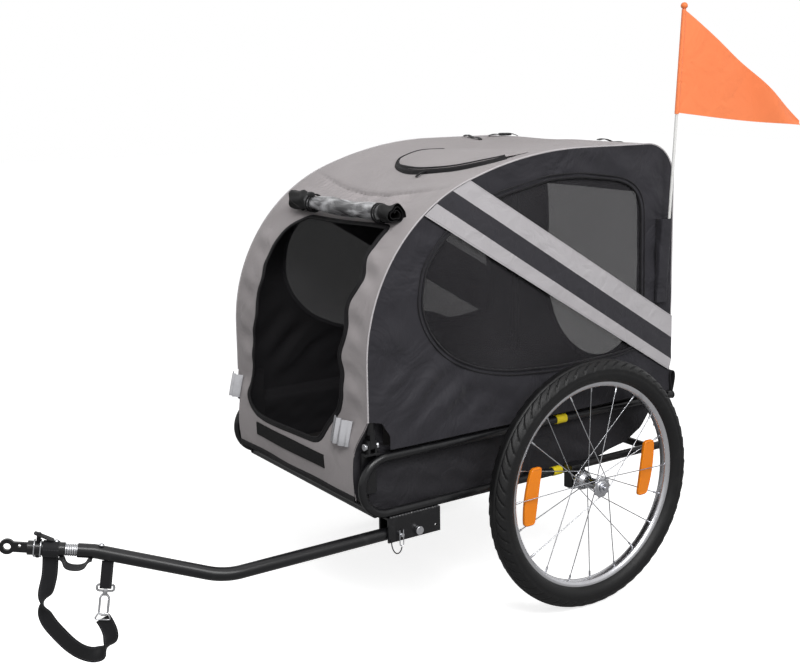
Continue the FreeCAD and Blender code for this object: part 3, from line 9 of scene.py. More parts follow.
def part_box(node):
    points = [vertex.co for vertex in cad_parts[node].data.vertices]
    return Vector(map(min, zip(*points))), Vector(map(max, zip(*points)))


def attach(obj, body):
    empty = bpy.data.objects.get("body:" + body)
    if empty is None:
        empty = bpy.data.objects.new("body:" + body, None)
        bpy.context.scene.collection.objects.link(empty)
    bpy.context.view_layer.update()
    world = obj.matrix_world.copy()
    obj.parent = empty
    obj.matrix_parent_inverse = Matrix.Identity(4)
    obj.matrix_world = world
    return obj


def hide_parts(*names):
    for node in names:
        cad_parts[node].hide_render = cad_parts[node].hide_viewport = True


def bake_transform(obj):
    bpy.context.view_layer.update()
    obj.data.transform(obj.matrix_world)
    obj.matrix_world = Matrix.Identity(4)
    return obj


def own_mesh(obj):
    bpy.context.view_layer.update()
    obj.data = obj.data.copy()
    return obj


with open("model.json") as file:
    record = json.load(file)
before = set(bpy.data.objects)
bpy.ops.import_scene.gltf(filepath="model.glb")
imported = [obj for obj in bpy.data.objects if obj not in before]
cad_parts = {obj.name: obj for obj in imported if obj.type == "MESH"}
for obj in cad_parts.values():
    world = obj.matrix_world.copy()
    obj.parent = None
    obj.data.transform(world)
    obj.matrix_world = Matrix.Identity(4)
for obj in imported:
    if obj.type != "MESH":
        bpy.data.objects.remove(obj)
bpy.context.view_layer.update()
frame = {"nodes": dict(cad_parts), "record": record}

# Lower frame: two steel tubes, each bent into a U lying on its side, with open rear ends that
# carry black plugs. Three cross tubes are welded between the lower rails, and everything is
# powder coated black. Plain yellow bands are wrapped round the upper and the lower rails.
bearer = {node: body for body, held in frame["record"]["behaviour"]["bodies"].items() for node in held}
nodes = frame["nodes"]
SIDES = (("left", 1), ("right", -1))
AXLE_X = -0.2587


def place(x, y, z):
    """Millimetres from the axle line, the mid-plane and the ground, as metres in the shared frame."""
    x, y, z = np.broadcast_arrays(*(np.asarray(v, float) for v in (x, y, z)))
    return np.stack([x / 1000 + AXLE_X, y / 1000, z / 1000], -1)


def unit(vectors):
    """Each vector divided by its own length."""
    return vectors / np.maximum(np.linalg.norm(vectors, axis=-1, keepdims=True), 1e-12)


def linear(red, green, blue):
    """A colour of 0 to 255 as seen on a screen, as the linear colour that a shader takes."""
    seen = np.array([red, green, blue]) / 255
    return (*np.where(seen <= 0.04045, seen / 12.92, ((seen + 0.055) / 1.055) ** 2.4).tolist(), 1.0)


def linked(name, data):
    """An object with that data, put into the scene."""
    piece = bpy.data.objects.new(name, data)
    bpy.context.collection.objects.link(piece)
    return piece


def outward(mesh, weld=False):
    """Turns a mesh's faces outwards, after merging points that lie in one spot where that is asked for."""
    shape = bmesh.new()
    shape.from_mesh(mesh)
    if weld:
        bmesh.ops.remove_doubles(shape, verts=shape.verts, dist=1e-6)
    bmesh.ops.recalc_face_normals(shape, faces=shape.faces)
    shape.to_mesh(mesh)
    shape.free()


def smoothed(mesh, angle):
    """Smooth shading that breaks where faces meet at more than an angle."""
    mesh.polygons.foreach_set("use_smooth", np.ones(len(mesh.polygons), bool))
    mesh.set_sharp_from_angle(angle=angle)


def lattice(first, second):
    """Every pair of two rows of values, over (first, second)."""
    return np.stack(np.meshgrid(first, second, indexing="ij"), -1)


OPEN, ROUND, CLOSED = (False, False), (False, True), (True, True)


def surface(name, grid, materials, body=None, wrap=OPEN, thick=0.0, out=None, uv=None, caps=False,
            weld=False, sharp=40):
    """Quads over a grid of points, joined end to end along its rows or columns where wrap says so. With a thickness
    the grid gets a second layer, pushed back along the cross product of its two grid directions, and walls along
    its open edges. UVs are lengths in metres."""
    grid = np.asarray(grid, float)
    rows, columns = grid.shape[:2]
    index = np.arange(rows * columns).reshape(rows, columns)

    def lapped(a):
        a = np.concatenate([a, a[:1]]) if wrap[0] else a
        return np.concatenate([a, a[:, :1]], 1) if wrap[1] else a

    def corners(a):
        return np.stack([a[:-1, :-1], a[1:, :-1], a[1:, 1:], a[:-1, 1:]], 2).reshape(-1, 4, *a.shape[2:])

    full = lapped(index)
    spots = lapped(grid)
    if uv is None:
        along = np.linalg.norm(np.diff(spots, axis=0), axis=2).mean(1)
        across = np.linalg.norm(np.diff(spots, axis=1), axis=2).mean(0)
        chart = lattice(np.r_[0, along.cumsum()], np.r_[0, across.cumsum()])
    else:
        chart = lapped(np.asarray(uv, float))
    points = grid.reshape(-1, 3)
    quads = corners(full)
    faces, charts, slots = [quads], [corners(chart)], [np.zeros(len(quads), int)]
    if thick:
        run = np.roll(grid, -1, 0) - np.roll(grid, 1, 0) if wrap[0] else np.gradient(grid, axis=0)
        reach = np.roll(grid, -1, 1) - np.roll(grid, 1, 1) if wrap[1] else np.gradient(grid, axis=1)
        normal = unit(np.cross(run, reach))
        normal = normal * np.sign(np.sum(normal * np.asarray(out, float)))
        points = np.concatenate([points, (grid - normal * thick).reshape(-1, 3)])
        under = rows * columns
        faces.append(quads[:, ::-1] + under)
        charts.append(charts[0][:, ::-1])
        slots.append(np.full(len(quads), min(1, len(materials) - 1)))
        edges = []
        if not wrap[0]:
            edges += [(full[0], chart[0]), (full[-1, ::-1], chart[-1, ::-1])]
        if not wrap[1]:
            edges += [(full[::-1, 0], chart[::-1, 0]), (full[:, -1], chart[:, -1])]
        for edge, marks in edges:
            faces.append(np.stack([edge[1:], edge[:-1], edge[:-1] + under, edge[1:] + under], -1))
            charts.append(np.stack([marks[1:], marks[:-1], marks[:-1], marks[1:]], 1))
            slots.append(np.zeros(len(edge) - 1, int))
    listed = [face for part in faces for face in part.tolist()]
    marks = np.concatenate([part.reshape(-1, 2) for part in charts])
    kinds = np.concatenate(slots)
    if caps:
        listed += [index[0, ::-1].tolist(), index[-1].tolist()]
        marks = np.concatenate([marks, np.zeros((2 * columns, 2))])
        kinds = np.r_[kinds, 0, 0]
    mesh = bpy.data.meshes.new(name)
    mesh.from_pydata(points.tolist(), [], listed)
    mesh.uv_layers.new(name="lengths").data.foreach_set("uv", marks.ravel())
    mesh.polygons.foreach_set("material_index", kinds.astype(np.int32))
    outward(mesh, weld)
    smoothed(mesh, np.radians(sharp))
    for material in materials:
        mesh.materials.append(material)
    piece = linked(name, mesh)
    if body:
        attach(piece, body)
    return piece


def carried(path, profile, side, closed=False):
    """A profile of (across, up) pairs carried along a path. Across is the given side direction with its part
    along the path taken away, and up is the path's direction crossed with it."""
    path = np.asarray(path, float)
    ahead = np.roll(path, -1, 0) - np.roll(path, 1, 0) if closed else np.gradient(path, axis=0)
    ahead = unit(ahead)
    across = np.broadcast_to(np.asarray(side, float), path.shape)
    across = unit(across - ahead * np.sum(across * ahead, -1, keepdims=True))
    up = np.cross(ahead, across)
    profile = np.asarray(profile, float)
    return path[:, None] + across[:, None] * profile[None, :, :1] + up[:, None] * profile[None, :, 1:]


def full_turn(count):
    """Angles in equal steps round one turn, without the last, which would meet the first."""
    return np.linspace(0, 2 * np.pi, count, endpoint=False)


def round_profile(radius, flats):
    """Points on a circle of that radius."""
    turn = full_turn(flats)
    return np.stack([np.cos(turn), np.sin(turn)], -1) * radius


def tube(name, path, radius, material, body=None, side=(0, 1, 0), flats=22, closed=False):
    """A round bar: a circle carried along a path, with both ends covered or joined to each other."""
    grid = carried(path, round_profile(radius, flats), side, closed)
    return surface(name, grid, [material], body, (closed, True), caps=not closed)


def fill(tree, node, values):
    """Sets inputs of a shader node, each to a number, a colour or another node's socket."""
    for key, value in values.items():
        if isinstance(value, bpy.types.NodeSocket):
            tree.links.new(value, node.inputs[key])
        else:
            node.inputs[key].default_value = value


def add(tree, kind, values=(), **settings):
    """A shader node with its settings and its inputs."""
    made = tree.nodes.new("ShaderNode" + kind)
    for key, value in settings.items():
        setattr(made, key, value)
    fill(tree, made, dict(values))
    return made


def maths(tree, how, *values):
    """One sum in a shader."""
    return add(tree, "Math", dict(enumerate(values)), operation=how).outputs[0]


def ranged(tree, value, low=0.0, high=1.0, start=0.0, end=1.0):
    """A value carried over in proportion from one range to another, and held at both ends."""
    return add(tree, "MapRange", {"Value": value, "From Min": low, "From Max": high, "To Min": start,
                                  "To Max": end}).outputs[0]


def effect(name, inputs, outputs):
    """An empty shader node group with the named inputs and outputs, and its two end nodes."""
    group = bpy.data.node_groups.new(name, "ShaderNodeTree")
    for title, kind in inputs:
        group.interface.new_socket(name=title, in_out="INPUT", socket_type=kind)
    for title in outputs:
        group.interface.new_socket(name=title, in_out="OUTPUT", socket_type="NodeSocketFloat")
    start, end = group.nodes.new("NodeGroupInput"), group.nodes.new("NodeGroupOutput")
    return group, start.outputs, end.inputs


VECTOR, FLOAT = "NodeSocketVector", "NodeSocketFloat"
scuffs, given, put = effect("scuffs", [("Place", VECTOR), ("Pitch", FLOAT)], ["Mask", "Grain"])
patch = add(scuffs, "TexNoise", {"Vector": given["Place"], "Scale": given["Pitch"], "Detail": 6, "Roughness": 0.65})
fine = add(scuffs, "TexNoise", {"Vector": given["Place"], "Scale": 2600, "Detail": 2})
scuffs.links.new(ranged(scuffs, patch.outputs[0], 0.56, 0.76), put["Mask"])
scuffs.links.new(fine.outputs[0], put["Grain"])


def use(tree, group, **values):
    """A shared effect in a material, with its inputs set or linked."""
    return add(tree, "Group", values, node_tree=group).outputs


def blended(tree, factor, first, second):
    """Two colours mixed by a mask."""
    return add(tree, "Mix", {0: factor, 6: first, 7: second}, data_type="RGBA").outputs[2]


def tree_of(material):
    """A material's node tree and its Principled shader."""
    return material.node_tree, material.node_tree.nodes["Principled BSDF"]


def fresh(name):
    """A new material with its node tree and its Principled shader."""
    material = bpy.data.materials.new(name)
    material.use_nodes = True
    return material, *tree_of(material)


def hard_finish(name, colour, worn, rough, rough_worn, metal=0.0, coat=0.0, grain=0.02, pitch=38, spec=0.3):
    """Paint, metal or moulded plastic: a colour that goes over to a worn one in scuffed patches, a roughness
    that follows the same mask, and a fine grain as bump."""
    material, tree, shader = fresh(name)
    mark = use(tree, scuffs, Place=add(tree, "TexCoord").outputs["Object"], Pitch=pitch)
    bump = add(tree, "Bump", {"Strength": grain * 10, "Distance": 0.0004, "Height": mark["Grain"]})
    fill(tree, shader, {"Base Color": blended(tree, mark["Mask"], linear(*colour), linear(*worn)),
                        "Roughness": ranged(tree, mark["Mask"], start=rough, end=rough_worn),
                        "Normal": bump.outputs[0], "Metallic": metal, "Coat Weight": coat, "Coat Roughness": 0.12,
                        "Specular IOR Level": spec})
    return material


frame_black = hard_finish("frame_black", (20, 20, 22), (38, 38, 40), 0.3, 0.46, coat=0.22)
yellow_print = hard_finish("yellow_band", (236, 212, 40), (206, 184, 52), 0.45, 0.62, pitch=120)
plug_black = hard_finish("plug_black", (28, 28, 30), (48, 48, 50), 0.5, 0.65, grain=0.05)
RAIL_Y, UPPER_Z, LOWER_Z, TUBE_END = 249, 365, 260, -288
bend, bend_radius = np.linspace(np.pi / 2, -np.pi / 2, 30), (UPPER_Z - LOWER_Z) / 2
u_bend = np.stack([427.5 + bend_radius * np.cos(bend), LOWER_Z + bend_radius + bend_radius * np.sin(bend)], -1)
u_line = np.concatenate([[[TUBE_END, UPPER_Z]], u_bend, [[TUBE_END, LOWER_Z]]])


def round_rail(profile, sign, level, flats):
    """A turned shape on a rail: (x, radius) pairs in millimetres swung round the rail's line."""
    along, radius = profile[:, :1], profile[:, 1:]
    turn = full_turn(flats)
    return place(along, sign * RAIL_Y + radius * np.cos(turn), level + radius * np.sin(turn))


def shown(node, material):
    """A CAD node whose shape is right keeps its mesh and gets a finish in place of its flat colour."""
    for spot in nodes[node].material_slots:
        spot.material = material


plug_section = np.array([(0, 0), (0, 8.6), (-2.2, 8.9), (-3.4, 8.0), (-4.2, 5.0), (-4.4, 0.01)]) + (TUBE_END, 0)
for hand, sign in SIDES:
    loop = tube(f"{hand}_loop_tube", place(u_line[:, 0], sign * RAIL_Y, u_line[:, 1]), 0.008, frame_black, "chassis",
                flats=26)
    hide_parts(f"{hand}_frame_loop")
    for level in (UPPER_Z, LOWER_Z):
        plug = surface(f"{hand}_tube_plug_{level}", round_rail(plug_section, sign, level, 24), [plug_black], "chassis",
                       ROUND, weld=True)
shown("cross_tubes", frame_black)
for hand, sign in SIDES:
    for level, start, end in ((UPPER_Z, 8.0, 34.0), (LOWER_Z, 19.4, 41.4)):
        edge = np.array([(start, 8.1), (start + 0.2, 9.0), (end - 0.2, 9.0), (end, 8.1)])
        label = surface(f"{hand}_yellow_band_{level}", round_rail(edge, sign, level, 32), [yellow_print], "chassis",
                        ROUND, caps=True)
        if (hand, level) == ("left", UPPER_Z):
            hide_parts("rail_bands")


# Hinge brackets: pairs of pressed steel ears welded to the upper rails, front and rear, with a
# bright bolt through each pair. The hoops turn on these bolts when the trailer is folded.
def eased(node, material, width, sharp=50):
    """A copy of a rigid CAD node with its doubles merged and its sharp edges broken by a small bevel."""
    mesh = nodes[node].data.copy()
    shape = bmesh.new()
    shape.from_mesh(mesh)
    bmesh.ops.remove_doubles(shape, verts=shape.verts, dist=1e-6)
    bmesh.ops.dissolve_limit(shape, angle_limit=0.02, verts=shape.verts, edges=shape.edges)
    shape.to_mesh(mesh)
    shape.free()
    mesh.materials.clear()
    mesh.materials.append(material)
    mesh.polygons.foreach_set("material_index", np.zeros(len(mesh.polygons), np.int32))
    smoothed(mesh, np.radians(sharp))
    piece = linked(node + "_shown", mesh)
    if width:
        broken = piece.modifiers.new("edges", "BEVEL")
        broken.width, broken.segments, broken.limit_method = width, 2, "ANGLE"
        broken.angle_limit, broken.use_clamp_overlap = np.radians(sharp), True
    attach(piece, bearer[node])
    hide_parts(node)


bolt_steel = hard_finish("bolt_steel", (205, 206, 210), (150, 150, 152), 0.2, 0.38, metal=1.0, pitch=160)
for hand in ("left", "right"):
    eased(f"{hand}_hinge_brackets", frame_black, 0.0012)
    eased(f"{hand}_hinge_bolts", bolt_steel, 0.0008)

# Side hoops: round steel tube bent to the trailer's outline, inside the cloth's sleeves. Their flat
# tangs stand between the hinge ears.
for hand in ("left", "right"):
    shown(f"{hand}_hoop", frame_black)

# Axle sockets and quick release axles: a welded steel block on each lower rail takes a turned axle,
# whose domed head carries a push button that frees its locking balls.
axle_steel = hard_finish("axle_steel", (196, 197, 202), (140, 140, 144), 0.22, 0.4, metal=1.0, pitch=90)
for hand in ("left", "right"):
    eased(f"{hand}_axle_socket", frame_black, 0.0015)
    eased(f"{hand}_axle", axle_steel, 0.0008)
    eased(f"{hand}_axle_button", axle_steel, 0.0008)

# Wheels: black rubber tyres with ribs and slanted sipes on aluminium box rims, laced with twenty
# crossed steel spokes to turned hubs. Two orange reflectors are clipped between the spokes.
tyre_rubber = hard_finish("tyre_rubber", (19, 19, 20), (30, 30, 30), 0.42, 0.56, grain=0.05, pitch=30, spec=0.32)
rim_metal = hard_finish("rim_metal", (214, 214, 218), (172, 172, 176), 0.24, 0.36, metal=1.0, pitch=24)
spoke_wire = hard_finish("spoke_wire", (188, 189, 193), (120, 120, 124), 0.24, 0.4, metal=1.0, pitch=60)
hub_chrome = hard_finish("hub_chrome", (200, 201, 205), (160, 160, 164), 0.12, 0.3, metal=1.0, pitch=50)
WHEEL_Y, HUB_Z, SPOKES = 320, 247, 20


def turned(profile, segments, sign, lobes=0):
    """A turned shape: (radius, side) pairs in millimetres swung round the axle line through the wheel's centre.
    With lobes, the widest parts are scalloped by a cosine that many times a turn."""
    turn = full_turn(segments)[:, None]
    radius, aside = np.asarray(profile, float).T
    radius = radius * (1 + 0.05 * (lobes > 0) * (radius > 19.8) * (np.cos(lobes * turn) - 1))
    return place(radius * np.cos(turn), sign * (WHEEL_Y + aside) + 0 * turn, HUB_Z + radius * np.sin(turn))


def puffed(a, power=0.45):
    """A sine or cosine pressed towards a square, which gives a rounded block."""
    return np.sign(a) * np.abs(a) ** power


def tyre_grid(sign):
    """The tyre's skin over (turn, way round its section): a flattened ring section with two round grooves beside
    the middle rib. Curved sipes part the shoulders into sixty scales a side, each sloping down to the next one."""
    half_wide, half_high, ring_radius, scales = 23, 22.6, 224.2, 60
    turn = full_turn(960)[:, None]
    even = np.linspace(-1, 1, 64, endpoint=False)[None, :]
    way = np.pi * (0.62 * even + 0.38 * even ** 3)
    side, rise = half_wide * puffed(np.sin(way), 0.9), half_high * puffed(np.cos(way), 0.85)
    away = np.abs(way)
    part = np.clip((away - 0.36) / 0.95, 0, 1)
    scale = np.mod(scales * turn / (2 * np.pi) + 1.2 * part ** 0.6 + 0.5 * (way > 0), 1.0)
    cut = np.clip(1.15 - np.minimum(scale, 1 - scale) / 0.1, 0, 1)
    shoulder = np.clip((away - 0.36) / 0.07, 0, 1) * np.clip((1.42 - away) / 0.3, 0, 1)
    groove = np.exp(-((away - 0.31) / 0.07) ** 2) + 0.7 * np.exp(-((away - 1.5) / 0.06) ** 2)
    depth = shoulder * (2.2 * cut + 1.6 * scale) + 1.8 * groove
    share = 1 - depth / half_wide
    radius = ring_radius + rise * np.where(rise > -15, share, 1)
    side = side * share
    return place(radius * np.cos(turn), sign * (WHEEL_Y + side), HUB_Z + radius * np.sin(turn))


def spoke_grids(sign):
    """Spokes as eight-sided bars: each runs from a hub flange to the rim, leading or trailing by about a sixth of
    a turn, and thickens into a nipple over its last millimetres. One array holds all twenty."""
    number = np.arange(SPOKES)
    outer, leading = np.where(number % 2, -1, 1), np.where(number // 2 % 2, -1, 1)
    rim_turn = number * 2 * np.pi / SPOKES
    hub_turn = rim_turn + leading * np.pi / 3.2
    flange, rim = 19, 195
    foot = np.stack([flange * np.cos(hub_turn), outer * 28.5 + leading * 1.2, flange * np.sin(hub_turn)], -1)
    head = np.stack([rim * np.cos(rim_turn), outer * 3.0, rim * np.sin(rim_turn)], -1)
    share = np.array([0, 0.93, 0.932, 0.985, 0.99, 1.0])
    thick = np.array([1.0, 1.0, 2.0, 2.0, 1.5, 1.5])
    line = foot[:, None] + (head - foot)[:, None] * share[None, :, None]
    ahead = unit(head - foot)
    across = unit(np.cross(ahead, [0.0, 1.0, 0.0]))
    up = np.cross(ahead, across)
    turn = full_turn(8)
    ring = across[:, None, None] * np.cos(turn)[:, None] + up[:, None, None] * np.sin(turn)[:, None]
    spots = line[:, :, None] + ring * thick[None, :, None, None]
    return place(spots[..., 0], sign * (WHEEL_Y + spots[..., 1]), HUB_Z + spots[..., 2])


rim_section = [(194.2, -6.5), (193.6, 0), (194.2, 6.5), (196.5, 9.8), (201, 11.4), (208.5, 12), (211.5, 12), (212, 11),
               (209, 10), (206, 9.2), (205, 0), (206, -9.2), (209, -10), (212, -11), (211.5, -12), (208.5, -12),
               (201, -11.4), (196.5, -9.8)]
hub_section = [(6.3, -32.9), (9.5, -32.9), (12, -32), (13, -30.6), (20.2, -30.4), (21, -29.6), (21, -27.4),
               (20.2, -26.8), (19.6, -25), (18, -20.5), (15.4, -16), (12.2, -12.6), (10.4, -10), (10.4, 12),
               (11.2, 22), (14, 26.2), (20.2, 26.8), (21, 27.4), (21, 29.6), (20.2, 30.4), (13, 30.6), (12, 32),
               (9.5, 32.9), (6.3, 32.9)]
for hand, sign in SIDES:
    body = f"{hand}_wheel"
    tyre = surface(f"{hand}_tyre_rubber", tyre_grid(sign), [tyre_rubber], body, CLOSED, sharp=60)
    rim = surface(f"{hand}_rim_ring", turned(rim_section, 192, sign), [rim_metal], body, CLOSED, sharp=50)
    hub = surface(f"{hand}_hub_shell", turned(hub_section, 160, sign, 10), [hub_chrome], body, CLOSED, sharp=50)
    bars = spoke_grids(sign)
    number = np.arange(bars.size // 3).reshape(bars.shape[:3])
    lap = np.concatenate([number, number[:, :, :1]], 2)
    walls = np.stack([lap[:, :-1, :-1], lap[:, 1:, :-1], lap[:, 1:, 1:], lap[:, :-1, 1:]], -1).reshape(-1, 4)
    mesh = bpy.data.meshes.new(f"{hand}_spoke_wires")
    mesh.from_pydata(bars.reshape(-1, 3).tolist(), [],
                     walls.tolist() + number[:, 0, ::-1].tolist() + number[:, -1].tolist())
    outward(mesh)
    smoothed(mesh, 0.8)
    mesh.materials.append(spoke_wire)
    spokes = linked(mesh.name, mesh)
    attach(spokes, body)
    for piece, node, slot in ((tyre, "tyre", "tyre_black"), (rim, "rim", "rim_silver"), (hub, "hub", "bare_steel"),
                              (spokes, "spokes", "bright_wire")):
        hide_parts(f"{hand}_{node}")

orange_lens = hard_finish("orange_lens", (250, 140, 20), (242, 122, 14), 0.2, 0.3, coat=0.3, pitch=400)
tree, shader = tree_of(orange_lens)
cells = add(tree, "TexVoronoi", {"Vector": add(tree, "TexCoord").outputs["Object"], "Scale": 420})
lens_bump = add(tree, "Bump", {"Strength": 0.6, "Distance": 0.0008, "Height": cells.outputs["Distance"]})
fill(tree, shader, {"Normal": lens_bump.outputs[0]})


def lens_grid(middle, sign):
    """A moulded lens over (along, round its section): a rounded block whose edge towards the rim is bowed, with
    narrowing ends, a raised border round each face, and its top leaning to the rear."""
    half_long, lean = 56, np.tan(np.radians(9))
    along = np.sin(np.linspace(-np.pi / 2, np.pi / 2, 72))[:, None]
    turn = full_turn(96)[None, :]
    wide = 16.0 * (1 - 0.2 * along ** 2) * np.clip(1 - np.abs(along) ** 22, 0, 1) ** 0.4
    across = puffed(np.cos(turn), 0.4)
    sunk = np.clip((0.82 - np.abs(across)) / 0.06, 0, 1) * np.clip((0.93 - np.abs(along)) / 0.015, 0, 1)
    deep = (4.4 - 0.9 * sunk) * np.clip(1 - np.abs(along) ** 30, 0, 1) ** 0.4
    x = middle + wide * across + np.sign(middle) * 3.2 * (1 - along ** 2) - half_long * along * lean
    z = HUB_Z + 4 + half_long * along + 0 * turn
    return place(x, sign * (WHEEL_Y + deep * puffed(np.sin(turn), 0.4)), z)


for hand, sign in SIDES:
    for number, middle in enumerate((149.0, -144.0)):
        lens = surface(f"{hand}_reflector_{number}", lens_grid(middle, sign), [orange_lens], f"{hand}_wheel",
                       ROUND, weld=True, sharp=55)
        if not number:
            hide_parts(f"{hand}_reflectors")

# Tow bar receiver: a folded steel channel welded under the left lower rail, with a pivot bolt and
# nut at its rear and a locking pin with a bright wire clip through the front. A bead of weld runs
# along its joint with the rail.
eased("tow_bar_receiver", frame_black, 0.0015)
eased("tow_bar_bolt", bolt_steel, 0.0008)
eased("locking_pin", bolt_steel, 0.0005)
weld_grey = hard_finish("weld_grey", (70, 70, 72), (176, 174, 170), 0.35, 0.5, metal=0.6, pitch=190)
along = np.linspace(322, 428, 120)
bead_radius = 1.7 + 0.7 * np.abs(np.sin(along * np.pi / 6.5))
around = full_turn(10)
bead = place(along[:, None] + 0 * around, 256.0 + bead_radius[:, None] * np.cos(around),
             252.0 + bead_radius[:, None] * np.sin(around))
weld_bead = surface("receiver_weld", bead, [weld_grey], "chassis", ROUND, caps=True)


# Pin lanyard: a thin plastic-coated cord that keeps the locking pin's clip on the receiver. It
# hangs in a short loop under the receiver's front end.
def cord_line(name, route, steps=24):
    """Points along a smooth spline that has the route's points as its control points."""
    curve = bpy.data.curves.new(name, "CURVE")
    curve.dimensions = "3D"
    spline = curve.splines.new("NURBS")
    spline.points.add(len(route) - 1)
    spline.points.foreach_set("co", np.c_[route, np.ones(len(route))].ravel())
    spline.order_u, spline.use_endpoint_u, spline.resolution_u = 3, True, steps
    holder = linked(name, curve)
    mesh = bpy.data.meshes.new_from_object(holder)
    line = np.empty(len(mesh.vertices) * 3)
    mesh.vertices.foreach_get("co", line)
    bpy.data.objects.remove(holder)
    bpy.data.meshes.remove(mesh)
    bpy.data.curves.remove(curve)
    return line.reshape(-1, 3)


def steps_along(line):
    """How far along a line each of its points lies: the sum of the steps before it."""
    return np.r_[0, np.linalg.norm(np.diff(line, axis=0), axis=1).cumsum()]


cord_black = hard_finish("cord_black", (38, 38, 40), (70, 70, 72), 0.4, 0.55, pitch=300)
lanyard_route = place([427, 427, 419, 409, 407], [258.4, 258.4, 260.2, 262, 262], [210, 197.5, 182.5, 185.5, 194.6])
lanyard_line = cord_line("lanyard_route", lanyard_route)
lanyard = tube("pin_lanyard_cord", lanyard_line, 0.0011, cord_black, flats=12)
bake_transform(lanyard)
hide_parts("pin_lanyard")
float(steps_along(lanyard_line)[-1])

# Tow bar: one steel tube, powder coated black, that leaves the receiver straight ahead and bends
# inwards and up to the coupling in front of the trailer's middle.
coupling = np.array([960.0, 149.0, 285.0])
u_way = np.array([0.8932, -0.428372, 0.136714])
v_way = np.array([0.432432, 0.901667, 0.0])
w_way = np.array([-0.123271, 0.05912, 0.990611])


def coupled(x, y, z):
    """Millimetres along, across and above the coupling's own line, as metres in the shared frame."""
    x, y, z = np.broadcast_arrays(*(np.asarray(v, float) for v in (x, y, z)))
    spots = coupling + x[..., None] * u_way + y[..., None] * v_way + z[..., None] * w_way
    return place(spots[..., 0], spots[..., 1], spots[..., 2])


def bent_steel(corners, radii, steps=14):
    """The centre line of a bent bar: straight runs, and at each inner corner an arc of the given radius whose
    ends lie radius times the tangent of half the turn away from the corner."""
    corners = np.asarray(corners, float)
    line = [corners[:1]]
    for spot, before, after, radius in zip(corners[1:-1], corners[:-2], corners[2:], radii):
        back, on = unit(before - spot), unit(after - spot)
        half = (np.pi - np.arccos(np.clip(back @ on, -1, 1))) / 2
        middle = spot + unit(back + on) * radius / np.cos(half)
        share = np.linspace(-half, half, steps)[:, None]
        line.append(middle - unit(back + on) * radius * np.cos(share) + unit(on - back) * radius * np.sin(share))
    line.append(corners[-1:])
    return np.concatenate(line)


bar_line = bent_steel([(349, 241, 218), (747, 241, 218), coupling - 27 * u_way, coupling], (120, 60))
tow_bar = tube("tow_bar_tube", place(*bar_line.T), 0.0115, frame_black, "tow_bar", side=(0, 0, 1), flats=32)
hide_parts("tow_bar")


# Spring coupling: a short coil spring joins the tow bar to a stub tube, so that the bicycle may lean
# and turn. The stub carries the tongue with the axle eye, and the hitch pin with its handle and wire bail.
# Domed rivets sit on the stub and on the end of the bar.
def coil(name, first, last):
    """A wire carried along a helix about the coupling's line, one turn every 3.6 millimetres."""
    x = np.linspace(first, last, 220)
    turn = 2 * np.pi * x / 3.6
    return tube(name, coupled(x, 8.2 * np.cos(turn), 8.2 * np.sin(turn)), 0.00165, spring_steel, side=u_way, flats=10)


spring_steel = hard_finish("spring_steel", (206, 207, 210), (120, 120, 122), 0.18, 0.34, metal=1.0, pitch=200)
SPRING_MIDDLE = 10
rear_coil = coil("spring_rear_turns", -6.5, SPRING_MIDDLE)
front_coil = coil("spring_front_turns", SPRING_MIDDLE, 26.5)
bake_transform(rear_coil)
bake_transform(front_coil)
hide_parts("coupler_spring")
eased("coupler_stub", frame_black, 0.0012)
eased("hitch_tongue", frame_black, 0.0012)
eased("hitch_pin", plug_black, 0.0012)
eased("hitch_bail", spring_steel, 0, 75)


def rivet(name, x, y, z, radius, body):
    """A domed rivet head: a quarter ellipse swung round an upright line, standing on the tube's skin."""
    lift = np.linspace(0, np.pi / 2, 8)[:, None]
    turn = full_turn(20)
    grid = coupled(x + radius * np.cos(lift) * np.cos(turn), y + radius * np.cos(lift) * np.sin(turn),
                   z + 0.7 * radius * np.sin(lift) + 0 * turn)
    piece = surface(name, np.concatenate([coupled(x, y, z - 1.0 + 0 * turn)[None], grid]), [bolt_steel], body,
                    ROUND, weld=True)


rivet("stub_rivet", 34, 0, 13.4, 4.0, "hitch_coupler")
rivet("bar_rivet", -37, 2, 11.6, 4.4, "tow_bar")


# Straps at the coupling: black nylon webbing. The safety strap hangs from the stub in a loose loop
# and comes back to a ring on the snap hook, a short strap bridges the spring, and a sewn tab holds the hook.
weave, given, put = effect("weave", [("Place", VECTOR), ("Pitch", FLOAT)], ["Height", "Shade"])
parts = add(weave, "SeparateXYZ", {0: given["Place"]}).outputs
waves = [maths(weave, "SINE", maths(weave, "DIVIDE", maths(weave, "MULTIPLY", part, 6.2832), given["Pitch"]))
         for part in parts[:2]]
crossing = maths(weave, "MULTIPLY_ADD", maths(weave, "MULTIPLY", waves[0], waves[1]), 0.5, 0.5)
thread = add(weave, "TexNoise", {"Vector": given["Place"], "Scale": 900, "Detail": 2}).outputs[0]
weave.links.new(crossing, put["Height"])
weave.links.new(maths(weave, "ADD", maths(weave, "MULTIPLY", crossing, 0.35), maths(weave, "MULTIPLY", thread, 0.65)),
                put["Shade"])

creases, given, put = effect("creases", [("Place", VECTOR), ("Pitch", FLOAT)], ["Height", "Shade"])
bent = add(creases, "TexNoise", {"Vector": given["Place"], "Scale": given["Pitch"], "Detail": 3, "Distortion": 1.2})
broad = add(creases, "TexNoise", {"Vector": given["Place"], "Scale": maths(creases, "MULTIPLY", given["Pitch"], 0.3)})
creases.links.new(bent.outputs[0], put["Height"])
creases.links.new(ranged(creases, broad.outputs[0], 0.3, 0.7), put["Shade"])

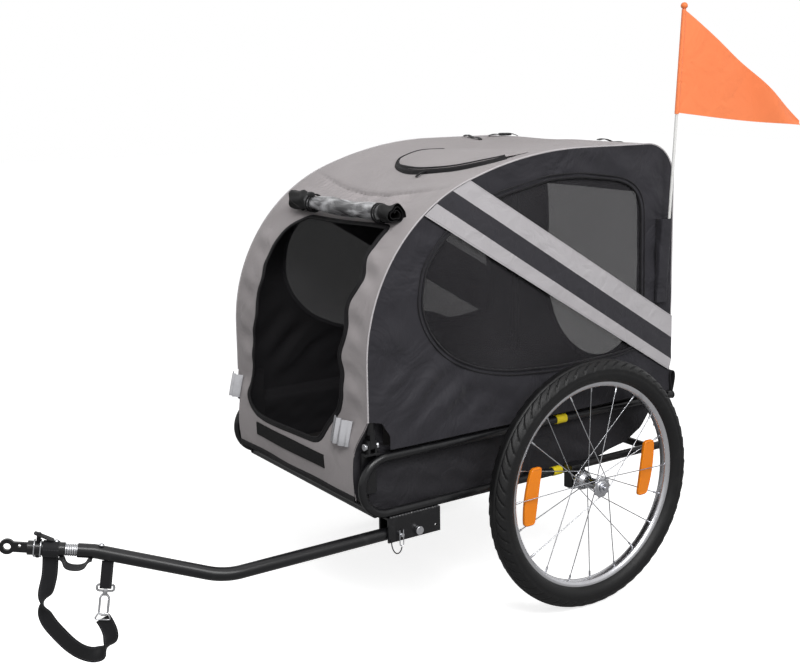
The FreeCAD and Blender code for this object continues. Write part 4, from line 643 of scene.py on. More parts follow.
stitches, given, put = effect("stitches", [("Place", VECTOR), ("Line", FLOAT), ("Pitch", FLOAT)], ["Mask"])
parts = add(stitches, "SeparateXYZ", {0: given["Place"]}).outputs
near = maths(stitches, "LESS_THAN", maths(stitches, "ABSOLUTE", maths(stitches, "SUBTRACT", parts[1], given["Line"])),
             0.0006)
dash = maths(stitches, "LESS_THAN", maths(stitches, "FRACT", maths(stitches, "DIVIDE", parts[0], given["Pitch"])), 0.66)
stitches.links.new(maths(stitches, "MULTIPLY", near, dash), put["Mask"])


def cloth(name, colour, shade, pitch=0.0011, sheen=0.15, rough=0.8, crease=22, depth=0.002, stitched=(), seam=None,
          twill=0.35, spec=0.2):
    """Woven cloth: colour that drifts to a shade with the broad creases and darkens between threads, bump from
    the weave and the creases, and rows of stitches at given places across the piece's UV map."""
    material, tree, shader = fresh(name)
    coords = add(tree, "TexCoord").outputs
    threads = use(tree, weave, Place=coords["UV"], Pitch=pitch)
    folds = use(tree, creases, Place=coords["Object"], Pitch=crease)
    plain = linear(*colour)
    dark = tuple(v * 0.72 for v in plain[:3]) + (1.0,)
    base = blended(tree, maths(tree, "MULTIPLY", folds["Shade"], 0.55), plain, linear(*shade))
    base = blended(tree, maths(tree, "MULTIPLY", threads["Shade"], twill), base, dark)
    for line in stitched:
        row = use(tree, stitches, Place=coords["UV"], Line=line, Pitch=0.0042)["Mask"]
        base = blended(tree, row, base, linear(*seam))
    weave_bump = add(tree, "Bump", {"Strength": 0.35, "Distance": 0.0005, "Height": threads["Height"]})
    fold_bump = add(tree, "Bump", {"Strength": 1.0, "Distance": depth, "Height": folds["Height"],
                                   "Normal": weave_bump.outputs[0]})
    fill(tree, shader, {"Base Color": base, "Normal": fold_bump.outputs[0], "Sheen Weight": sheen,
                        "Roughness": ranged(tree, folds["Shade"], start=rough - 0.06, end=rough + 0.06),
                        "Sheen Roughness": 0.4, "Specular IOR Level": spec})
    return material


webbing = cloth("webbing", (26, 26, 28), (40, 40, 43), pitch=0.0019, rough=0.62, depth=0.0006,
                stitched=(0.0025, 0.0225), seam=(58, 58, 60))
strap_spots = np.array([(41.46, -13.0), (39.65, -37.97), (42.36, -61.99), (48.24, -94.08), (39.65, -120.96),
                        (17.04, -145.49), (-5.58, -166.32), (-27.29, -177.24), (-47.19, -178.08), (-60.76, -166.32),
                        (-66.19, -146.16), (-58.05, -125.16), (-49, -113.3)])
strap_line = cord_line("strap_route", coupled(strap_spots[:, 0], 1.0, strap_spots[:, 1]), steps=14)


def band(name, line, across, width, thick, body=None):
    """Flat webbing: a thin box section carried along a line, its width along one direction or one at each point."""
    ahead = unit(np.gradient(line, axis=0))
    across = unit(across - ahead * np.sum(across * ahead, -1, keepdims=True))
    face = np.cross(ahead, across)
    aside = np.linspace(-width / 2, width / 2, 7)
    top = line[:, None] + across[:, None] * aside[None, :, None]
    chart = np.stack(np.broadcast_arrays(steps_along(line)[:, None], aside + width / 2), -1)
    return surface(name, top + face[:, None] * (thick / 2), [webbing], body, thick=thick, out=face[:, None], uv=chart,
                   sharp=35)


STRAP_WIDE, STRAP_THICK = 0.025, 0.0018
strap_run = steps_along(strap_line)
half_turns = (np.pi / (1 + np.exp(-(strap_run / strap_run[-1] - at) / 0.035)) for at in (0.27, 0.80))
twist = sum(half_turns)[:, None]
flat_way = np.cross(unit(np.gradient(strap_line, axis=0)), v_way)
strap = band("safety_strap_webbing", strap_line, flat_way * np.cos(twist) + v_way * np.sin(twist), STRAP_WIDE,
             STRAP_THICK)
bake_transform(strap)
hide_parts("safety_strap")
hook_chrome = hard_finish("hook_chrome", (210, 211, 214), (150, 150, 152), 0.12, 0.3, metal=1.0, pitch=90)
eased("strap_ring", hook_chrome, 0, 70)
eased("snap_hook", hook_chrome, 0.0004, 60)
eased("hook_gate", hook_chrome, 0.0003, 60)

collar_x, collar_radius = np.linspace(29, 54, 8)[:, None], 13.4
turn = full_turn(40)[None, :]
collar_grid = coupled(collar_x, collar_radius * np.cos(turn), collar_radius * np.sin(turn))
collar = surface("strap_collar", collar_grid, [webbing], "hitch_coupler", ROUND, STRAP_THICK,
                 out=collar_grid - coupled(collar_x, 0 * turn, 0 * turn))
bridge_line = cord_line("bridge_route", coupled([28, 22, 17, -12, -19, -24.3], 0,
                                                [-12.8, -12.8, -30, -30, -12.8, -12.8]), steps=12)
middle_at = len(bridge_line) // 2
front_bridge = band("bridge_webbing_front", bridge_line[:middle_at + 1], v_way, STRAP_WIDE, STRAP_THICK)
bridge = band("bridge_webbing", bridge_line[middle_at:], v_way, STRAP_WIDE, STRAP_THICK)
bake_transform(bridge)
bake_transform(front_bridge)
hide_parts("bridge_strap")
fold = np.linspace(-1.5, 1.5, 9)
tab_line = coupled(-49, np.r_[np.full(12, -1.6), 1.6 * np.sin(fold), np.full(12, 1.6)],
                   np.r_[np.linspace(-16, -58, 12), -58 - 4.5 * np.cos(fold), np.linspace(-58, -16, 12)])
tab = band("hook_tab_webbing", tab_line, u_way, 0.019, 0.0016, "tow_bar")
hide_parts("hook_tab")

# Floor and tub: a dark board on the cross tubes, black cloth over it, and black coated cloth sides that
# hang from the upper rails. Their upper hems tuck in behind the rails under the side panels.
black_cloth = cloth("black_cloth", (40, 39, 42), (50, 49, 54), crease=14, depth=0.009, rough=0.6, sheen=0.1)
lining = cloth("black_lining", (33, 32, 34), (40, 39, 42), crease=16, rough=0.85, sheen=0.0)
board = hard_finish("dark_board", (44, 42, 42), (62, 60, 58), 0.6, 0.8, pitch=14)
shown("floor_board", board)


def ripple(a, b, seed, longest, shortest, count=9):
    """A sum of seeded sine waves over two lengths in millimetres, from about minus one to one."""
    dice = np.random.default_rng(seed)
    total = 0
    for size in np.geomspace(longest, shortest, count):
        heading, phase = dice.uniform(0, 2 * np.pi, 2)
        total = total + np.sin(2 * np.pi * (a * np.cos(heading) + b * np.sin(heading)) / size + phase) * size ** 0.6
    return total / (np.geomspace(longest, shortest, count) ** 0.6).sum() * 1.6


def smooth(value, low, high):
    """A step from nought to one that starts and ends flat."""
    t = np.clip((value - low) / (high - low), 0, 1)
    return t * t * (3 - 2 * t)


def sewn(name, parts, inside, thick, materials):
    """One sheet from several grids: their shared edges are welded, its faces are turned away from an inside
    point, and Solidify then gives it its thickness and its lining."""
    whole = bmesh.new()
    for grid, wrap, chart in parts:
        part = surface(name + "_part", grid, [], None, wrap, uv=chart)
        whole.from_mesh(part.data)
        bpy.data.objects.remove(part)
    bmesh.ops.remove_doubles(whole, verts=whole.verts, dist=2e-5)
    bmesh.ops.recalc_face_normals(whole, faces=whole.faces)
    mesh = bpy.data.meshes.new(name)
    whole.to_mesh(mesh)
    normals, centres = np.empty((2, len(mesh.polygons) * 3))
    mesh.polygons.foreach_get("normal", normals)
    mesh.polygons.foreach_get("center", centres)
    if np.sum(normals.reshape(-1, 3) * (centres.reshape(-1, 3) - np.asarray(inside))) < 0:
        bmesh.ops.reverse_faces(whole, faces=whole.faces)
        whole.to_mesh(mesh)
    whole.free()
    for material in materials:
        mesh.materials.append(material)
    draft = linked(name + "_draft", mesh)
    wall = draft.modifiers.new("cloth", "SOLIDIFY")
    wall.thickness, wall.offset, wall.use_even_offset = thick, -1, False
    wall.material_offset = len(materials) - 1
    solid = bpy.data.meshes.new_from_object(draft.evaluated_get(bpy.context.evaluated_depsgraph_get()))
    solid.name = name
    bpy.data.objects.remove(draft)
    smoothed(solid, 1.0)
    return linked(name, solid)


def spread_of(piece):
    """The area of one side of a thin closed sheet, in square metres."""
    areas = np.empty(len(piece.data.polygons))
    piece.data.polygons.foreach_get("area", areas)
    return float(areas.sum() / 2)


def laid_sheet(piece, width, length, held, rests_on, **more):
    """Works out the smaller of a sheet's finished area and its cut's area, and gives the sheet back.
    Declares a sheet whose cut has the area that its finished shape has.
    """
    area = min(spread_of(piece), width * length)
    return piece


rear_low = np.array([(-275, 436), (-274.5, 410), (-268, 385), (-258, 362), (-240, 334), (-216, 303), (-172, 279),
                     (-106, 267.6)])
TUB_Y, TUB_TOP = 234.2, 383
for hand, sign in SIDES:
    x = np.linspace(-266, 458, 110)[:, None]
    t = np.linspace(0, 1, 30)[None, :]
    foot = np.interp(x, rear_low[:, 0], rear_low[:, 1]) - 9 * smooth(x, -130, -70)
    z = foot + (TUB_TOP - foot) * t
    tuck = smooth(z, 366, TUB_TOP) * 20.5 * smooth(x, -262, -235) * smooth(-x, -436, -410)
    folds = 3.8 * ripple(x, 2.2 * z, 31 + sign, 260, 45) * np.sin(np.pi * np.clip(t, 0, 1)) ** 0.5
    grid = place(x + 0 * z, sign * (TUB_Y + tuck + np.clip(folds, -3.5, 4.5)), z)
    chart = np.stack(np.broadcast_arrays(x / 1000, z / 1000), -1)
    tub_middle = (-0.2, 0, 0.32)
    side_cloth = sewn(f"{hand}_tub_cloth", [(grid, OPEN, chart)], tub_middle, 0.0014, [black_cloth, lining])
    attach(side_cloth, "chassis")
    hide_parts(f"{hand}_tub_side")
    laid_sheet(side_cloth, 0.73, 0.125, "stretched", [f"{hand}_loop_tube"])
low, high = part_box("floor_cloth")
x, y = np.meshgrid(np.linspace(low[0], high[0], 60), np.linspace(low[1], high[1], 44), indexing="ij")
grid = np.stack([x, y, high[2] - 0.0004 + 0.0008 * ripple(x * 1000, y * 1000, 5, 240, 60)], -1)
floor_cloth = sewn("floor_cloth_sheet", [(grid, OPEN, grid[..., :2])], (0, 0, 0), 0.0012, [black_cloth])
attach(floor_cloth, "chassis")
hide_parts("floor_cloth")
laid_sheet(floor_cloth, float(high[0] - low[0]) * 1.02, float(high[1] - low[1]) * 1.02, "laid", ["floor_board"])

# Canopy: one sheet of grey coated polyester, black inside, that runs from the sill up the front, over the
# roof and down the rear between the two hoops. The door opening is cut in its front and a window in its rear.
grey_cloth = cloth("grey_cloth", (176, 170, 171), (158, 152, 153), crease=13, depth=0.004, rough=0.72,
                   sheen=0.25, twill=0.12)
HINGE_Z, SILL_Z = 436, 288


def hoop_outline(offset):
    """The hoop's line moved outwards: front leg, a tight and a wide roof arc, the flat top, the rear corner and
    the rear leg, as (x, z) in millimetres."""
    tight_z, corner_z, wide_x, corner_x, tight_end = 534.3, 823.4, -23.3, -200.7, 69.31

    def arc(x, z, radius, start, stop, count):
        turn = np.radians(np.linspace(start, stop, count))
        return np.stack([x + (radius + offset) * np.cos(turn), z + (radius + offset) * np.sin(turn)], -1)

    return np.concatenate([
        np.stack([np.full(15, 460 + offset), np.linspace(HINGE_Z, tight_z, 16)[:-1]], -1),
        arc(135.97, tight_z, 324.03, 0, tight_end, 50)[:-1],
        arc(wide_x, 112.57, 774.83, tight_end, 90, 30),
        np.stack([np.linspace(wide_x, corner_x, 20), np.full(20, 887.4 + offset)], -1)[1:-1],
        arc(corner_x, corner_z, 64, 90, 180, 20),
        np.stack([np.full(39, -264.7 - offset), np.linspace(corner_z, HINGE_Z, 40)[1:]], -1)])


rise = np.linspace(SILL_Z, HINGE_Z, 24)[:-1]
front_low = np.stack([470.3 + 16 * np.sin(np.pi * 0.75 * (HINGE_Z - rise) / (HINGE_Z - SILL_Z)), rise], -1)
profile = np.concatenate([front_low, hoop_outline(10.3), rear_low[1:]])
run = steps_along(profile)
way = unit(np.gradient(profile, axis=0))
top_at = int(np.argmax(profile[:, 1]))
half_wide = np.where(np.arange(len(run)) < top_at, 228 + 27 * smooth(profile[:, 1], 372, 440),
                     233.4 + 21.6 * smooth(profile[:, 1], 360, 436))


def run_at(height, rear=False):
    """How far along the canopy's profile a height lies, on its front or its rear."""
    if rear:
        return np.interp(-np.asarray(height, float), -profile[top_at:, 1], run[top_at:])
    return np.interp(height, profile[:top_at, 1], run[:top_at])


roof_from, roof_to, rear_end = float(run_at(806)), float(run_at(812, True)), float(run_at(392, True))


def canopy(s, q, lift=0.0):
    """A point on the canopy: along its profile by s, across by q from minus one to one. The cloth sags a little
    between the hoops, and has soft folds that fade out at the hoops, where it is pulled tight."""
    s, q = np.broadcast_arrays(np.asarray(s, float), np.asarray(q, float))
    x, z, half = (np.interp(s, run, column) for column in (profile[:, 0], profile[:, 1], half_wide))
    along_x, along_z = np.interp(s, run, way[:, 0]), np.interp(s, run, way[:, 1])
    loose = np.clip(1 - np.abs(q) ** 3, 0, 1)
    slack = np.clip(1 - (q / 0.94) ** 2, 0, 1)
    roof = smooth(s, roof_from - 120, roof_from + 60) * np.where(s < roof_to, smooth(x, -190, -20), 0)
    front = smooth(-s, -roof_from, -roof_from + 140) * smooth(s, 40, 160)
    seam_past = x - 297 + 4.6e-4 * (q * half) ** 2
    gathered = smooth(seam_past, -1, 3.5) * smooth(-seam_past, -95, -30) * (s < roof_to) * loose
    pucker = np.sin(2 * np.pi * (q * half + 0.35 * seam_past) / 16 + 1.5 * np.sin(q * 9))
    pucker = pucker * np.exp(-((seam_past - 16) / 24) ** 2) * (0.62 + 0.38 * np.sin(q * 17 + 1.3 * np.sin(q * 6)))
    bulk = -15.0 * roof * slack + 3.6 * ripple(s, q * half * 0.8, 12, 420, 60) * loose
    strip = np.exp(-((np.abs(q) - 0.86) / 0.12) ** 2) + 0.12 * loose
    bulk = bulk + 6.5 * front * loose * strip * np.sin(2 * np.pi * s / 84 + 1.1 * np.sin(q * 5) + 0.8 * q)
    bulk = bulk + 3.2 * front * loose * strip * np.sin(2 * np.pi * (s + 60 * q) / 47)
    bulk = bulk + gathered * (3.4 * pucker - 6.0)
    bulk = bulk - 2.6 * np.exp(-(seam_past / 5.0) ** 2) * (s < roof_to) * loose
    bulk = bulk + 7.0 * smooth(s, roof_to, roof_to + 60) * loose
    off = bulk + np.asarray(lift, float)
    return place(x + along_z * off, q * half, z - along_x * off)


def spaced(points, count):
    """Points at equal steps along a broken line, without its last one."""
    points = np.asarray(points, float)
    steps = steps_along(points)
    at = np.linspace(0, steps[-1], count, endpoint=False)
    return np.stack([np.interp(at, steps, column) for column in points.T], -1)


def eased_ring(ring, passes):
    """A closed line whose points are each moved halfway to the middle of their neighbours, some times over."""
    for _ in range(passes):
        ring = 0.5 * ring + 0.25 * (np.roll(ring, 1, 0) + np.roll(ring, -1, 0))
    return ring


def half_at(s):
    """The canopy's half width at a place along its profile."""
    return np.interp(s, run, half_wide)


def joined(sides, counts):
    """A closed line from its sides, each cut into its own number of equal steps."""
    return np.concatenate([spaced(side, count) for side, count in zip(sides, counts)])


def ring_of(outline, rear=False):
    """Canopy places of a closed line that is given as widths and heights."""
    s = run_at(outline[:, 1], rear)
    return np.stack([s, outline[:, 0] / half_at(s)], -1)


def block_edge(s_from, s_to, counts):
    """The edge of a block of canopy that reaches from hoop to hoop, in as many steps a side as given."""
    corners = [(s_from, -1), (s_from, 1), (s_to, 1), (s_to, -1), (s_from, -1)]
    return joined([corners[i:i + 2] for i in range(4)], counts)


door_left = [(-104, 766), (-122, 756), (-143, 744), (-158, 720), (-170, 691), (-169, 671), (-158, 644), (-164, 619),
             (-169, 598), (-160, 567), (-175, 531), (-175, 484), (-178, 463), (-188, 436), (-191, 412), (-186, 392),
             (-172, 376), (-146, 367)]
door_sill = [(-146, 367), (-108, 364), (-40, 365), (40, 368), (86, 370), (104, 374), (115, 382)]
door_right = [(115, 382), (126, 399), (140, 418), (160, 441), (171, 466), (174, 505), (164, 538), (168, 556),
              (181, 583), (172, 620), (175, 645), (193, 674), (184, 699), (176, 720), (180, 747), (188, 768)]
front_counts, rear_counts = (128, 84, 128, 84), (128, 60, 128, 60)
door_sides = (door_sill, door_right, [door_right[-1], door_left[0]], door_left)
door_ring = ring_of(eased_ring(joined(door_sides, front_counts), 5))


def between(outer, inner, depth):
    """Rings of points that go over in equal steps from an outer closed line to an inner one."""
    share = np.linspace(0, 1, depth)[:, None, None]
    return outer[None] * (1 - share) + inner[None] * share


def chart_of(field):
    """The cloth's own flat coordinates in metres: along the canopy and across it."""
    return np.stack([field[..., 0] / 1000, field[..., 1] * half_at(field[..., 0]) / 1000], -1)


front_field = between(block_edge(0, roof_from, front_counts), door_ring, 26)
cross = np.linspace(1, -1, 129)
roof_field = lattice(np.linspace(roof_from, roof_to, 180), cross)
bow = np.linspace(0, np.pi, 40)
window_sides = ([(-146, 792), (150, 792)], [(150, 792), (150, 588)],
                np.stack([2 + 148 * np.cos(bow), 588 - 180 * np.sin(bow) ** 0.85], -1), [(-146, 588), (-146, 792)])
pane_ring = ring_of(eased_ring(joined(window_sides, rear_counts), 6), True)
rear_field = between(block_edge(roof_to, rear_end, rear_counts), pane_ring, 14)
foot_field = lattice(np.linspace(rear_end, run[-1], 20), cross)
CANOPY_MIDDLE = np.array([-0.16, 0, 0.6])
fields = ((front_field, True), (roof_field, False), (rear_field, True), (foot_field, False))
canopy_sheet = sewn("canopy_cloth", [(canopy(field[..., 0], field[..., 1]), (False, ringed), chart_of(field))
                                     for field, ringed in fields], CANOPY_MIDDLE, 0.0013, [grey_cloth, lining])


def folds_down(piece):
    """What lies on the canopy rides on the chassis, with a mesh of its own."""
    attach(piece, "chassis")
    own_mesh(piece)


folds_down(canopy_sheet)
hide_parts("front_panel", "roof_panel", "rear_panel")
laid_sheet(canopy_sheet, 0.52, run[-1] / 1000 * 1.02, "stretched", ["left_hoop", "right_hoop"])


def on_canopy(name, field, lift, thick, materials, wrap=OPEN):
    """Trim that lies on the canopy: a grid of canopy places with its own lift."""
    grid = canopy(field[..., 0], field[..., 1], lift)
    piece = surface(name, grid, materials, None, wrap, thick, out=grid - CANOPY_MIDDLE, uv=chart_of(field))
    folds_down(piece)
    return piece


# Door edge: a black zip tape sewn round the opening with its coil along the inner edge, a wide strip of black
# hook fastener under it on the sill, and two looped tabs of silver reflecting band beside it. The sill ends in
# a black hem.
zip_tape = cloth("zip_tape", (20, 19, 21), (28, 27, 29), pitch=0.0014, rough=0.6, sheen=0.0)


def beside(ring, distance):
    """A closed line of canopy places moved sideways by a distance in millimetres, away from what it encloses."""
    flat = np.stack([ring[:, 0], ring[:, 1] * half_at(ring[:, 0])], -1)
    ahead = unit(np.roll(flat, -2, 0) - np.roll(flat, 2, 0))
    aside = np.stack([ahead[:, 1], -ahead[:, 0]], -1)
    aside = aside * np.sign(np.sum(aside * (flat - flat.mean(0))))
    aside = eased_ring(aside, 4)
    flat = flat[None] + aside[None] * np.asarray(distance, float)[:, None, None]
    return np.stack([flat[..., 0], flat[..., 1] / half_at(flat[..., 0])], -1)


tape_out = np.array([-3.0, -1.0, 1.5, 4.0, 6.0, 7.0])
tape_lift = np.array([0.4, 1.5, 1.9, 1.5, 0.9, 0.1])[:, None]
on_canopy("door_zip_tape", beside(door_ring, tape_out), tape_lift, 0.0016, [zip_tape], ROUND)
coil_field = beside(door_ring, np.array([-2.5]))[0]
coil_line = canopy(coil_field[:, 0], coil_field[:, 1], 0.6)
folds_down(tube("door_zip_coil", coil_line, 0.0022, zip_tape, side=(1, 0, 0), flats=10, closed=True))


def patch_field(y_from, y_to, z_from, z_to, rows=24, columns=40):
    """Canopy places over a block of widths and heights on the front."""
    s, y = np.meshgrid(run_at(np.linspace(z_from, z_to, rows)), np.linspace(y_from, y_to, columns), indexing="ij")
    return np.stack([s, y / half_at(s)], -1)


hooks = hard_finish("hook_fastener", (20, 20, 21), (30, 30, 31), 0.9, 0.98, grain=0.4, pitch=500)
on_canopy("sill_fastener", patch_field(-150, 126, 323, 349), 1.4, 0.0014, [hooks])
silver_band = hard_finish("silver_band", (206, 206, 210), (190, 190, 194), 0.2, 0.3, metal=0.85, pitch=30, grain=0.005)
for hand, y_from, y_to, stand in (("left", 150, 212, 8.0), ("right", -268, -224, 9.0)):
    height, part = np.linspace(384, 430, 26)[:, None], np.linspace(0, 1, 72)[None, :]
    bow = stand * np.sin(np.pi * np.clip(part * 1.04, 0, 1)) ** 0.6
    bow = bow + 2.2 * np.cos(part * 6 * np.pi) * np.sin(np.pi * part)
    front_x = np.interp(height, profile[:top_at, 1], profile[:top_at, 0])
    grid = place(front_x + 3.0 + bow, y_from + (y_to - y_from) * part, height + 0 * part)
    tab_piece = surface(f"{hand}_silver_tab", grid, [silver_band], None, thick=0.0012, out=np.array([1.0, 0, 0]))
    folds_down(tab_piece)
hem_line = canopy(2.0, np.linspace(-1, 1, 90), 0.5)
hem = surface("sill_hem", carried(hem_line, round_profile(0.0042, 12) * (0.6, 1.3), (1, 0, 0)), [zip_tape], None,
              ROUND, caps=True)
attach(hem, "chassis")

# Corner gussets: folded black cloth between the narrow sill and the tub's sides, behind the front bend of
# the frame.
for hand, sign in SIDES:
    level = np.linspace(290, 434, 40)[:, None]
    share = np.linspace(0, 1, 16)[None, :]
    edge = canopy(run_at(level[:, 0]), sign * np.ones(40)) * 1000
    inner_x, inner_y = 424 + 1000 * AXLE_X, sign * 234
    fold = 4 * np.sin(np.pi * share) * np.sin(level / 17 + 2 * share)
    grid = np.stack([edge[:, :1] * (1 - share) + inner_x * share - np.abs(fold) * 0.6,
                     edge[:, 1:2] * (1 - share) + inner_y * share - sign * 2.0 * share + sign * fold * 0.4,
                     level + 0 * share], -1) / 1000
    gusset = surface(f"{hand}_corner_gusset", grid, [black_cloth, lining], "chassis", thick=0.0012,
                     out=np.array([0.5, sign, 0]))
    laid_sheet(gusset, 0.15, 0.075, "gathered", ["canopy_cloth"])

# Rolled-up door: clear film and black mesh rolled together above the opening, bunched at its ends and held by
# two double ties of thin black elastic, one of which ends in a small toggle.
film = hard_finish("door_film_painted_glints", (72, 72, 75), (124, 124, 128), 0.22, 0.36, coat=0.3, pitch=16)
# Painted highlights and shade: the film's colour runs in streaks along the roll from grey to near white, standing for
# its glints and the shade in its crumples. Its bunched ends keep the black mesh's own colour.
tree, shader = tree_of(film)
where = add(tree, "TexCoord").outputs["Object"]
aside = maths(tree, "ABSOLUTE", maths(tree, "ADD", add(tree, "SeparateXYZ", {0: where}).outputs[1], -0.036))
ends = ranged(tree, aside, 0.124, 0.137)
glint_streak_noise = add(tree, "TexNoise", {"Vector": add(tree, "Mapping", {"Vector": where, "Scale": (48, 12, 48)}).outputs[0],
                                "Scale": 1.4, "Detail": 4, "Distortion": 0.8}).outputs[0]
painted_film_glints = blended(tree, ranged(tree, glint_streak_noise, 0.4, 0.66), linear(96, 96, 98), linear(214, 214, 217))
fill(tree, shader, {"Base Color": blended(tree, ends, painted_film_glints, linear(13, 13, 14)),
                    "Coat Weight": ranged(tree, ends, start=0.35, end=0.0),
                    "Roughness": ranged(tree, ends, start=0.26, end=0.6)})
ROLL_X, ROLL_Z = 373.0, 793.0
y = np.linspace(-166, 210, 150)[:, None]
turn = np.linspace(0, 2 * np.pi * 2.6, 130)[None, :]
out_share = turn / turn.max()
bunched = smooth(np.abs(y - 32), 122, 156)
pinch = np.exp(-((y + 86) / 8) ** 2) + np.exp(-((y - 156) / 8) ** 2)
full = 18.0 + 3.0 * bunched - 3.4 * pinch
lumps = 0.15 * bunched * np.sin(turn * 3 + y / 9) + 0.09 * np.sin(turn * 2 + y / 22) + 0.04 * np.sin(turn * 5 - y / 13)
radius = (0.3 + 0.7 * out_share) * full * (1 + lumps) + 1.0 * ripple(y, turn * 14, 8, 90, 18) * out_share
axis_z = ROLL_Z - 2.5 * (1 - ((y - 18) / 188) ** 2)
roll_grid = place(ROLL_X + radius * np.cos(turn + 0.6), y + 0 * turn, axis_z + radius * np.sin(turn + 0.6))
roll = surface("door_roll_film", roll_grid, [film], None, thick=0.0011, out=roll_grid - place(ROLL_X, y, axis_z))
folds_down(roll)
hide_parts("door_roll")
laid_sheet(roll, 0.374, spread_of(roll) / 0.374 * 1.001, "folded", ["canopy_cloth"])
elastic = cloth("elastic", (22, 22, 23), (34, 34, 36), pitch=0.0012, rough=0.55)
turn, tie_radius = full_turn(60), 17.2
for number, at in enumerate((-91, -82, 151, 161)):
    ring = place(ROLL_X + tie_radius * np.cos(turn), at + 2.5 * np.sin(turn + number),
                 ROLL_Z - 2.0 + tie_radius * np.sin(turn))
    folds_down(tube(f"roll_tie_{number}", ring, 0.0017, elastic, flats=10, closed=True))


def globe(rows, columns):
    """Angles from pole to pole, one a row, and round a full turn, one a column."""
    return np.linspace(-np.pi / 2, np.pi / 2, rows)[:, None], full_turn(columns)[None, :]


lat, lon = globe(18, 28)
wide = 5.4 * np.clip(np.cos(lat), 0, 1) ** 0.45
toggle_grid = place(383 + wide * np.cos(lon), -80 + 11 * np.sin(lat) + 0 * lon, 809 + wide * np.sin(lon))
toggle = surface("tie_toggle", toggle_grid, [elastic], None, ROUND, weld=True)
folds_down(toggle)


# Sunroof: an oval flap of the roof cloth held by a black zip, with a flat black tape that covers the zip's coil
# and a short black pull on the tape.
def run_over(x):
    """How far along the canopy's profile a place on the roof lies, by its x in millimetres."""
    roof = slice(60, top_at + 60)
    return np.interp(-x, -profile[roof, 0], run[roof])


SUN_X, SUN_Y, SUN_LONG, SUN_WIDE = 107, 40, 106, 174


def oval(share, turn):
    """Canopy places on ovals about the sunroof's middle, as shares of its full size."""
    s = run_over(SUN_X) + SUN_LONG * share * np.cos(turn)
    return np.stack([s, (SUN_Y + SUN_WIDE * share * np.sin(turn)) / half_at(s)], -1)


turn = full_turn(128)[None, :]
share = np.linspace(0.004, 1, 30)[:, None]
lifted = 5.5 * smooth(0.55 * np.sin(turn) - np.cos(turn), 0.3, 1.0)
flap = on_canopy("sunroof_cloth", oval(share, turn), 2.0 + 3.0 * (1 - share ** 2) + lifted * share ** 3, 0.0012,
                 [grey_cloth, lining], ROUND)
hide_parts("sunroof_flap")
laid_sheet(flap, 0.37, 0.245, "stretched", ["canopy_cloth"])
tape_start, tape_end = 1.75, 2 * np.pi - 0.95
turn = np.linspace(tape_start, tape_end, 110)[None, :]
near_side = smooth(0.9 * np.sin(turn) - np.cos(turn), -0.4, 0.8)
taper = smooth(turn, tape_start, 2.1) * smooth(-turn, -tape_end, -2 * np.pi + 1.5)
broad = (0.3 + 0.7 * near_side) * (0.35 + 0.65 * taper)
share = np.array([0.93, 0.944, 0.98, 1.0, 1.016, 1.05, 1.082, 1.095])[:, None]
height = np.array([0.4, 1.8, 2.2, -0.8, -0.8, 2.2, 1.4, 0.0])[:, None]
held_up = (2.0 + 5.5 * near_side) * np.clip((1.095 - share) / 0.095, 0, 1)
on_canopy("sunroof_zip_tape", oval(0.995 + (share - 0.995) * broad, turn), height * (0.5 + 0.5 * broad) + held_up,
          0.0012, [zip_tape])
pull_at = oval(1.06, 2.98)
pull_s, pull_side = np.linspace(pull_at[0] + 4, pull_at[0] - 24, 16), np.linspace(-3.4, 3.4, 7)
pull_field = lattice(pull_s, pull_at[1] + pull_side / half_at(pull_at[0]))
on_canopy("sunroof_zip_pull", pull_field, 4.0 + 2.5 * np.sin(np.linspace(0, np.pi, 16))[:, None], 0.0022, [zip_tape])

# Rear window: black mosquito mesh sewn into the rear panel behind a black bound edge. The same mesh, and a denser
# one, fill the side windows.
net, given, put = effect("net", [("Place", VECTOR), ("Pitch", FLOAT), ("Width", FLOAT)], ["Cover"])
parts = add(net, "SeparateXYZ", {0: given["Place"]}).outputs
cover = [maths(net, "LESS_THAN", maths(net, "FRACT", maths(net, "DIVIDE", part, given["Pitch"])), given["Width"])
         for part in parts[:2]]
net.links.new(maths(net, "MAXIMUM", cover[0], cover[1]), put["Cover"])


def net_cloth(name, behind, ahead):
    """Woven mesh: how much of the light its threads hold back, at the rear and at the front, with the threads' own
    grid faintly over it and a colour that drifts."""
    material, tree, shader = fresh(name)
    coords = add(tree, "TexCoord").outputs
    run_x = add(tree, "SeparateXYZ", {0: coords["UV"]}).outputs[0]
    close = ranged(tree, run_x, 0.06, 0.12, behind, ahead)
    holes = use(tree, net, Place=coords["UV"], Pitch=0.0016, Width=0.34)
    drift = use(tree, creases, Place=coords["Object"], Pitch=14.0)
    fill(tree, shader, {"Base Color": blended(tree, drift["Shade"], linear(42, 41, 44), linear(60, 59, 62)),
                        "Alpha": maths(tree, "MULTIPLY_ADD", holes["Cover"], 0.16, close),
                        "Roughness": 0.7, "Specular IOR Level": 0.2})
    return material


black_net, dense_net = net_cloth("black_net", 0.41, 0.41), net_cloth("dense_net", 0.56, 0.78)
pane_field = between(pane_ring * 0 + pane_ring.mean(0), beside(pane_ring, np.array([9.0]))[0], 12)
rear_net = on_canopy("rear_window_net", pane_field, -2.2, 0.0005, [black_net], ROUND)
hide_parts("rear_window_mesh")
laid_sheet(rear_net, 0.31, 0.327, "stretched", ["canopy_cloth"])
on_canopy("rear_window_binding", beside(pane_ring, tape_out), tape_lift, 0.0014, [zip_tape], ROUND)

